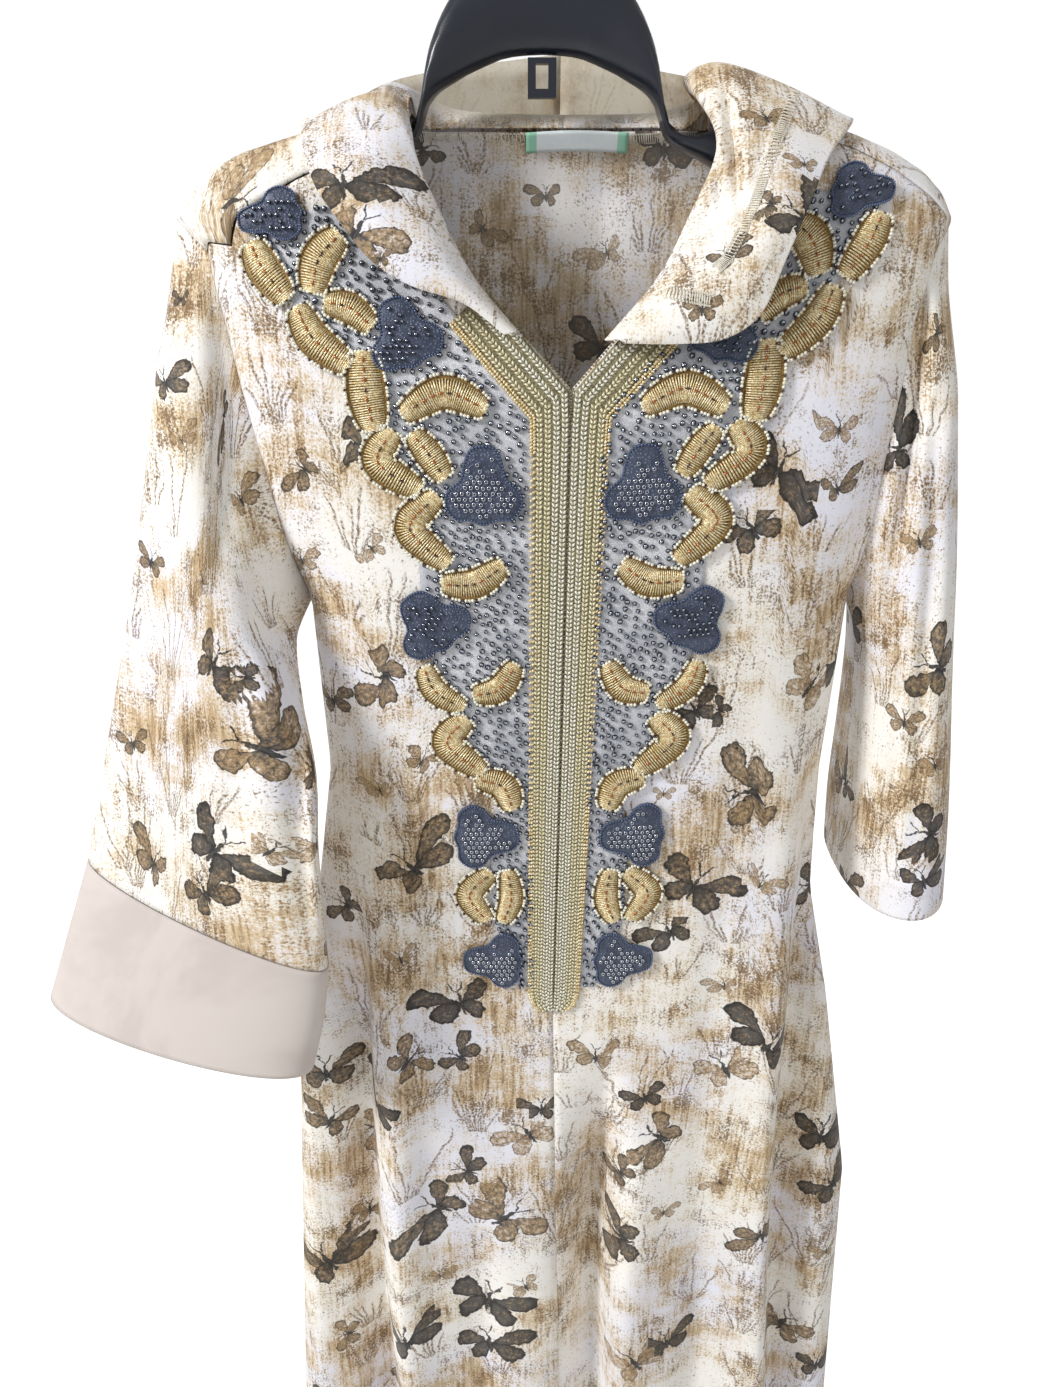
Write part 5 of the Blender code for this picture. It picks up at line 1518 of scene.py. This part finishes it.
# %% Bells
BELL_LIFT = OVERLAY_GAP * 2 + NET_THICK
STONE_R = 0.00125
STONE_PITCH = 0.0036
STONE_SIZE = (STONE_R, STONE_R, STONE_R * 0.9)
DARK_SIZE = (STONE_R, STONE_R, STONE_R)
BELL_SEED_SIZE = (0.0008, 0.0008, 0.0009)
BELL_EDGE = 0.965        # where the seeds of the edge lie, as a share of the bell
STONED = (2, 4, 5)        # the bells with set stones, the others have dark beads


def bell_crown(share):
    return MOTIF_THICK * (0.55 + 0.75 * (1.0 - share ** 3))


def smooth_outline(points, count):
    """Even points around a rounded closed outline."""
    loop = [Vector((*point, 0.0)) for point in points]
    fine = []
    total = len(loop)
    for i in range(total):
        around = [loop[(i + k) % total] for k in (-1, 0, 1, 2)]
        fine += [smooth_run(*around, f) for f in (0.0, 0.25, 0.5, 0.75)]
    return [(point.x, point.y) for point in resample(fine, count)]


def close_rings(bm, rings):
    """Skin the gaps between closed rings of corners, with a face over each end."""
    for low, high in zip(rings, rings[1:]):
        for i in range(len(low)):
            j = (i + 1) % len(low)
            bm.faces.new((low[i], low[j], high[j], high[i]))
    bm.faces.new(rings[-1])
    bm.faces.new(rings[0][::-1])


def shifted(point):
    return Vector((point.x + SHIFT_X, point.y, point.z))


def bells_side(side, word):
    bm = bmesh.new()
    stones = []
    seeds = []
    darks = []
    rng = random.Random("bells" + word)
    for number, row in enumerate(BELLS):
        outline = smooth_outline(bell_shape(row), 44)
        middle = (row[0], row[1])
        rings = []
        for share in (1.0, 1.0, 0.97, 0.88, 0.7, 0.45, 0.2):
            lift = BELL_LIFT if not rings else BELL_LIFT + bell_crown(share) * (0.6 if len(rings) == 1 else 1.0)
            ring = []
            for a, b in outline:
                point = on_front(side, middle[0] + (a - middle[0]) * share, middle[1] + (b - middle[1]) * share, lift)
                ring.append(bm.verts.new(shifted(point)))
            rings.append(ring)
        close_rings(bm, rings)
        for a, b in smooth_outline(outline, 74):
            spot = (middle[0] + (a - middle[0]) * BELL_EDGE, middle[1] + (b - middle[1]) * BELL_EDGE)
            frame_at = surface_frame(side, *spot, BELL_LIFT + bell_crown(BELL_EDGE) * 0.85)
            seeds.append((*frame_at, BELL_SEED_SIZE))
        reach = max(row[2], row[3]) * 0.6
        steps = int(reach / STONE_PITCH)
        for i in range(-steps, steps + 1):
            for j in range(-steps, steps + 1):
                local_x = (i + 0.5 * (j % 2)) * STONE_PITCH + rng.uniform(-0.0003, 0.0003)
                local_z = j * STONE_PITCH * 0.92 + rng.uniform(-0.0003, 0.0003)
                a, b = middle[0] + local_x, middle[1] + local_z
                bare = 0.1 if number in STONED else 0.45
                if rng.random() < bare or not inside(outline, middle[0] + local_x * 1.3, middle[1] + local_z * 1.3):
                    continue
                if number in STONED and local_z > 0.1 * row[3] and rng.random() < 0.4:
                    continue
                frame_at = surface_frame(side, a, b, BELL_LIFT + bell_crown(0.3) * 0.97, rng.uniform(0, 1))
                if number in STONED:
                    stones.append((*frame_at, STONE_SIZE))
                else:
                    darks.append((*frame_at, DARK_SIZE))
    bmesh.ops.recalc_face_normals(bm, faces=bm.faces)
    bells = new_piece("bib_bells_" + word, bm, [FELT])
    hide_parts(*[f"bell_{word}_{number}" for number in range(1, len(BELLS) + 1)])
    stamp("bib_stones_" + word, STONE, stones, [STONE_RING, STONE_TOP])
    stamp("bib_bell_darks_" + word, BEAD, darks, [BEAD_DARK, BEAD_GLINT])
    stamp("bib_bell_seeds_" + word, SEED, seeds, [SEED_BLUE])


# %% [markdown]
# Petals: gold coils laid side by side across each petal, a beaded edge and a broken dark rib.

# %% Petals
COIL_R = 0.00062
EDGE_STEP = 0.0021
PETAL_GROW = 0.0026
RIB_SIZE = (0.0008, 0.0019, 0.001)
EDGE_DARK_SIZE = (0.00095, 0.00095, 0.0014)
EDGE_SEED_SIZE = (0.00115, 0.00115, 0.0013)


def petals_side(side, word):
    coils = []
    edges = []
    darks = []
    coppers = []
    grounds = bmesh.new()
    for number, row in enumerate(PETALS):
        rng = random.Random(word + str(number))
        length = sum((petal_rib(row, (i + 1) / 20)[0] - petal_rib(row, i / 20)[0]).length for i in range(20))
        count = int(length / (COIL_R * 1.9))
        for k in range(count + 1):
            t = k / count
            centre, across, half = petal_rib(row, t)
            turn = math.atan2(across.y, across.x)
            frame_at = surface_frame(side, centre.x, centre.y, BELL_LIFT + COIL_R * 0.5, turn)
            coils.append((*frame_at, (2 * (half + PETAL_GROW) * 0.78, COIL_R * rng.uniform(0.8, 1.1), COIL_R * 1.5)))
            if k % 4 == 1 and 0.12 < t < 0.88:
                target = darks if rng.random() < 0.3 else coppers
                frame_rib = surface_frame(side, centre.x, centre.y, BELL_LIFT + COIL_R * 2.2, turn)
                target.append((*frame_rib, RIB_SIZE))
        around = smooth_outline(petal_shape(row, PETAL_GROW), max(20, int((2 * length + 4 * row[3] / 2) / EDGE_STEP)))
        for i, (a, b) in enumerate(around):
            frame_at = surface_frame(side, a, b, BELL_LIFT + 0.0001)
            if i % 4 == 3:
                darks.append((*frame_at, EDGE_DARK_SIZE))
            else:
                edges.append((*frame_at, EDGE_SEED_SIZE))
        outline = petal_shape(row, PETAL_GROW - 0.0006)
        close_rings(grounds, [[grounds.verts.new(shifted(on_front(side, a, b, BELL_LIFT + lift))) for a, b in outline]
                              for lift in (-0.0003, 0.0004)])
    bmesh.ops.recalc_face_normals(grounds, faces=grounds.faces)
    ground = new_piece("bib_petal_grounds_" + word, grounds, [GOLD_DARK], smooth=False)
    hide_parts(*[f"petal_{word}_{number:02d}" for number in range(1, len(PETALS) + 1)])
    stamp("bib_coils_" + word, COIL, coils, [GOLD])
    stamp("bib_petal_edges_" + word, SEED, edges, [SILVER])
    stamp("bib_petal_darks_" + word, SEED, darks, [SEED_BROWN])
    stamp("bib_petal_coppers_" + word, SEED, coppers, [COPPER])


# %% [markdown]
# Braid: a flat strip, columns of chain stitches in two pale golds, a dark seam beside the centre front
# and two gold cords at the outer edge.

# %% Braid
CHAIN_PITCH = 0.0028
BRAID_STEPS = 400
CHAIN_SIZE = (0.0037, 0.0037, 0.0024)
CORD_STEP = 0.0016
CORD_SIZES = {True: (0.0014, 0.0006, 0.0006), False: (0.0026, 0.00085, 0.00085)}     # at the centre, at the edge
CORDS = (-0.06, 1.03, 1.12)      # the seam beside the centre front, and two cords outside the braid
BRAID_LOOKS = ("silver", "silver", "khaki", "khaki")


def directions(line, behind, ahead):
    """Along a line of points between two of them, out of the cloth, and across."""
    along = (line[ahead] - line[behind]).normalized()
    away = Vector((0.0, -1.0, 0.0))
    away = (away - along * away.dot(along)).normalized()
    return along, away, along.cross(away)


def braid_place(side, across, v, lift):
    inner, outer = band_edges(BRAID_ROWS, v)
    out_place = inner.lerp(outer, across)
    return front_point(side * out_place.x + centre_x(out_place.y), out_place.y, lift)


def braid_side(side, word):
    def place(u, v):
        return braid_place(side, u if side > 0 else 1.0 - u, v, OVERLAY_GAP)

    strip = patch_piece("braid_strip_" + word, 8, 160, place, BRAID_THICK * 0.55, BRAID_GROUND)
    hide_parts("braid_" + word)
    lift = OVERLAY_GAP + BRAID_THICK * 0.55
    looks = {"silver": [], "khaki": []}
    for column in range(len(BRAID_LOOKS)):
        across = (column + 0.5) / len(BRAID_LOOKS)
        line = [braid_place(side, across, i / BRAID_STEPS, lift) for i in range(BRAID_STEPS + 1)]
        lengths = running_lengths(line)
        count = int(lengths[-1] / CHAIN_PITCH)
        at = 0
        for k in range(count):
            target = (k + 0.5 * (column % 2)) * CHAIN_PITCH
            while at < BRAID_STEPS - 1 and lengths[at + 1] < target:
                at += 1
            share = (target - lengths[at]) / max(1e-6, lengths[at + 1] - lengths[at])
            spot = line[at].lerp(line[at + 1], min(1.0, share))
            along, away, wide = directions(line, max(0, at - 3), min(BRAID_STEPS, at + 3))
            looks[BRAID_LOOKS[column]].append((shifted(spot), wide, along, away, CHAIN_SIZE))
    for look, material in (("silver", SILVER), ("khaki", KHAKI)):
        stamp(f"braid_{look}_{word}", CHAIN, looks[look], [material])
    cords = {"centre": [], "edge": []}
    for across in CORDS:
        line = [braid_place(side, across, i / BRAID_STEPS, lift - 0.0005) for i in range(BRAID_STEPS + 1)]
        far = 0.0
        last = line[0]
        for i in range(1, BRAID_STEPS + 1):
            far += (line[i] - last).length
            last = line[i]
            if far < CORD_STEP:
                continue
            far = 0.0
            along, away, wide = directions(line, i - 1, min(BRAID_STEPS, i + 2))
            turned = (wide * 0.72 + along * 0.69).normalized()
            other = away.cross(turned).normalized()
            centre = across < 0
            cords["centre" if centre else "edge"].append((shifted(line[i]), turned, other, away, CORD_SIZES[centre]))
    stamp("braid_seam_" + word, COIL, cords["centre"], [BRAID_GROUND])
    stamp("braid_cords_" + word, COIL, cords["edge"], [GOLD])


for side, word in ((1, "left"), (-1, "right")):
    net_side(side, word)
    bells_side(side, word)
    petals_side(side, word)
    braid_side(side, word)

# %% [markdown]
# The hanger is one moulding. Its solid is made of flat facets, so a copy is merged and rounded by
# subdivision, and gets a satin navy-black plastic whose gloss shifts slightly, as moulded plastic does.

# %% Hanger
PLASTIC, w, shader = new_material("moulded plastic", Base_Color=linear("1B1F2A"), Coat_Weight=0.25, Coat_Roughness=0.2)
place = w.here()
w.put(shader["Roughness"], w.fade(w.noise(place, 22.0, 3.0), 0.35, 0.65, 0.26, 0.4))
w.bump(shader, w.noise(place, 900.0, 2.0), 0.15, 0.0002)
METAL, w, shader = new_material("hook wire", Base_Color=linear("B9BBBE"), Metallic=1.0)
place = w.here()
w.put(shader["Roughness"], w.fade(w.noise(place, 180.0, 3.0), 0.35, 0.65, 0.2, 0.36))


def rounded_copy(node, levels, material):
    """A merged copy of a solid, rounded by subdivision, in its place."""
    bm = bmesh.new()
    bm.from_mesh(bpy.data.objects[node].data)
    bmesh.ops.remove_doubles(bm, verts=bm.verts, dist=0.00001)
    bmesh.ops.dissolve_limit(bm, angle_limit=math.radians(0.6), verts=bm.verts, edges=bm.edges)
    piece = new_piece("round_" + node, bm, [material])
    smoothing = piece.modifiers.new("Round", "SUBSURF")
    smoothing.levels = levels
    smoothing.render_levels = levels
    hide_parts(node)
    print("hanger piece", node, "points", len(piece.data.vertices))
    return piece


hanger = rounded_copy("hanger_body", 2, PLASTIC)
for node, material in (("hanger_loop", PLASTIC), ("hanger_hook", METAL)):
    for slot in bpy.data.objects[node].material_slots:
        slot.material = material

# %% [markdown]
# The neck label is a plain woven tape with mint ends and an ice-white middle. It bows a little
# between its sewn ends.

# %% Neck label
LABEL_HIGH = 0.01


def tape_material():
    material, w, shader = new_material("woven tape", Roughness=0.5, Sheen_Weight=0.3, Sheen_Roughness=0.4)
    place = w.here()
    x, _, z = w.split(place)
    end = w.fade(w.size(w.minus(x, LABEL_MIDDLE)), 0.0235, 0.024)
    weft = w.fade(w.size(w.math("SINE", w.times(z, 9000.0))), 0.1, 0.9)
    tone = w.mix(w.noise(place, 300.0), linear("E2F0F6"), linear("F4F8FA"))
    w.put(shader["Base Color"], w.mix(end, tone, linear("9FDABF")))
    w.bump(shader, weft, 0.3, 0.0002)
    return material


solid = bpy.data.objects["neck_label"]
corners = np.array([solid.matrix_world @ vert.co for vert in solid.data.vertices])
low, high = corners.min(axis=0), corners.max(axis=0)
LABEL_MIDDLE = float((low[0] + high[0]) / 2)


def tape_place(u, v):
    bow = math.sin(math.pi * u) * 0.0012
    share = (high[2] - low[2] - LABEL_HIGH * (1.0 - v)) / (high[2] - low[2])
    return (low[0] + (high[0] - low[0]) * u - SHIFT_X, low[1] + (high[1] - low[1]) * (1.0 - share) - 0.0006 - bow * 0.4,
            high[2] - LABEL_HIGH * (1.0 - v) + bow)


label = patch_piece("label_tape", 24, 6, tape_place, 0.0005, tape_material())
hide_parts("neck_label")

# %% [markdown]
# Overlocked edges show on the neck seam and on the hood's turned-out side: a ladder of cream
# threads across the edge between two rows of loops. They are laid where the photograph shows them.

# %% Overlock
THREAD, w, shader = new_material("cream thread", Roughness=0.7, Sheen_Weight=0.2)
place = w.here()
w.put(shader["Base Color"], w.mix(w.noise(place, 1200.0), linear("D9D2C0"), linear("F7F3E8")))
STITCH_STEP = 0.0019
OVERLOCKS = [
    ("neck", "back", [(416, 136), (470, 135), (568, 138), (640, 137), (697, 134)], 0.0062),
    ("hood", "hood_left",
     [(795, 92), (783, 123), (776, 142), (764, 179), (757, 202), (745, 228), (728, 259), (716, 270)], 0.0052),
    ("lapel", "hood_left", [(662, 292), (690, 297), (712, 301)], 0.006),
]


def seen_place(table, across, down):
    """The point of a piece, and the way out of it, at a place in the photograph's frame."""
    px, py, depth = seen_at(table)
    miss = np.hypot(px - across, py - down)
    miss -= miss.min()
    near = np.where(miss < 5.0, depth, np.inf)
    i, j = np.unravel_index(np.argmin(near), near.shape)
    share = np.exp(-(miss / 5.0) ** 2) * (np.abs(depth - depth[i, j]) < 0.012)
    far = float((depth * share).sum() / share.sum())
    tilt = math.radians(CAMERA_TILT)
    right = (across - PHOTO[0] / 2) / FOCAL * far
    up = (PHOTO[1] / 2 - down) / FOCAL * far
    sin, cos = math.sin(tilt), math.cos(tilt)
    point = CAMERA_PLACE + Vector((right, up * sin + far * cos, up * cos - far * sin))
    i0, i1 = max(0, i - 2), min(table.shape[0] - 1, i + 2)
    j0, j1 = max(0, j - 2), min(table.shape[1] - 1, j + 2)
    away = Vector(table[i1, j] - table[i0, j]).cross(Vector(table[i, j1] - table[i, j0])).normalized()
    if away.dot(CAMERA_PLACE - point) < 0:
        away = -away
    return point, away


def overlock(name, table, pixels, width):
    fine = [Vector((*point, 0.0)) for point in pixels]
    total = sum((b - a).length for a, b in zip(fine, fine[1:])) * 0.0007
    path = [seen_place(table, point.x, point.y) for point in (polyline(fine, k / 60) for k in range(61))]
    count = int(total / STITCH_STEP)
    ladder = []
    loops = []
    for k in range(1, count):
        at = k / count * 60
        low, share = int(at), at % 1.0
        point = path[low][0].lerp(path[min(60, low + 1)][0], share)
        away = path[low][1].lerp(path[min(60, low + 1)][1], share).normalized()
        along = (path[min(60, low + 3)][0] - path[max(0, low - 3)][0]).normalized()
        along = (along - away * along.dot(away)).normalized()
        wide = along.cross(away)
        point = point + away * (WALL + 0.0006)
        lean = (wide + along * 0.12).normalized()
        ladder.append((point, lean, along, away, (width, 0.00028, 0.00045)))
        for side in (-0.5, 0.5):
            loops.append((point + wide * width * side, wide, along, away, (0.0011, 0.0022, 0.001)))
    stamp("overlock_" + name, COIL, ladder, [THREAD])
    stamp("overlock_loops_" + name, CHAIN, loops, [THREAD])


for name, piece, pixels, width in OVERLOCKS:
    overlock(name, tables[piece], pixels, width)

# %% [markdown]
# Plain soft studio light, a pale floor under the hem and a white surround.

# %% Stage
FLOOR_Z = HEM_Z - 0.012


def area_light(name, place, aim, size, power):
    data = bpy.data.lights.new(name, "AREA")
    data.shape = "DISK"
    data.size = size
    data.energy = power
    light = bpy.data.objects.new(name, data)
    light.location = place
    light.rotation_euler = (Vector(aim) - Vector(place)).to_track_quat("-Z", "Y").to_euler()
    bpy.context.scene.collection.objects.link(light)


area_light("Key", (-1.9, -1.2, 0.9), (0.0, 0.0, -0.5), 0.7, 58.0)
area_light("Fill", (1.6, -1.6, 0.2), (0.0, 0.0, -0.6), 1.4, 3.0)
area_light("Back", (0.2, 2.2, 0.8), (0.0, 0.0, -0.5), 1.6, 10.0)

world = bpy.data.worlds.new("Studio")
world.use_nodes = True
background = world.node_tree.nodes["Background"]
background.inputs["Color"].default_value = (1.0, 1.0, 1.0, 1.0)
w = Wires(world.node_tree)
seen = w.node("ShaderNodeLightPath").outputs["Is Camera Ray"]
w.put(background.inputs["Strength"], w.line(seen, 0.54, 0.48))
bpy.context.scene.world = world

bm = bmesh.new()
bmesh.ops.create_grid(bm, x_segments=1, y_segments=1, size=6.0)
for vert in bm.verts:
    vert.co.z = FLOOR_Z
floor_material, w, shader = new_material("pale floor", Roughness=0.9, Emission_Color=linear("FFFFFF"))
w.put(shader["Base Color"], w.mix(w.noise(w.here(), 3.0), linear("F7F6F4"), linear("F3F2F0")))
seen = w.node("ShaderNodeLightPath").outputs["Is Camera Ray"]
w.put(shader["Emission Strength"], w.times(seen, 0.62))
new_piece("floor", bm, [floor_material], smooth=False, body=None)
bpy.context.scene.view_settings.view_transform = "Standard"

# %% [markdown]
# Each sheet of cloth is declared with the size it was cut to. The box of the solids and that of
# the dressed model are kept side by side.

# %% Declare and finish
SHEETS = {
    "front_left": ((0.33, 1.48), "hung", ["back"]),
    "front_right": ((0.33, 1.48), "hung", ["back"]),
    "back": ((0.62, 1.5), "hung", ["hanger_body"]),
    "sleeve_right": ((0.42, 0.42), "hung", ["cloth_front_right", "cloth_back"]),
    "sleeve_left": ((0.42, 0.46), "hung", ["cloth_front_left", "cloth_back"]),
    "cuff_right": ((0.42, 0.12), "hung", ["cloth_sleeve_right"]),
    "hood_right": ((0.52, 0.3), "draped", ["cloth_front_right", "cloth_back"]),
    "hood_left": ((0.52, 0.3), "draped", ["cloth_front_left", "cloth_back"]),
}
for name, (flat_size, held, rests) in SHEETS.items():
    area = min(print_area(cloths[name]), flat_size[0] * flat_size[1])
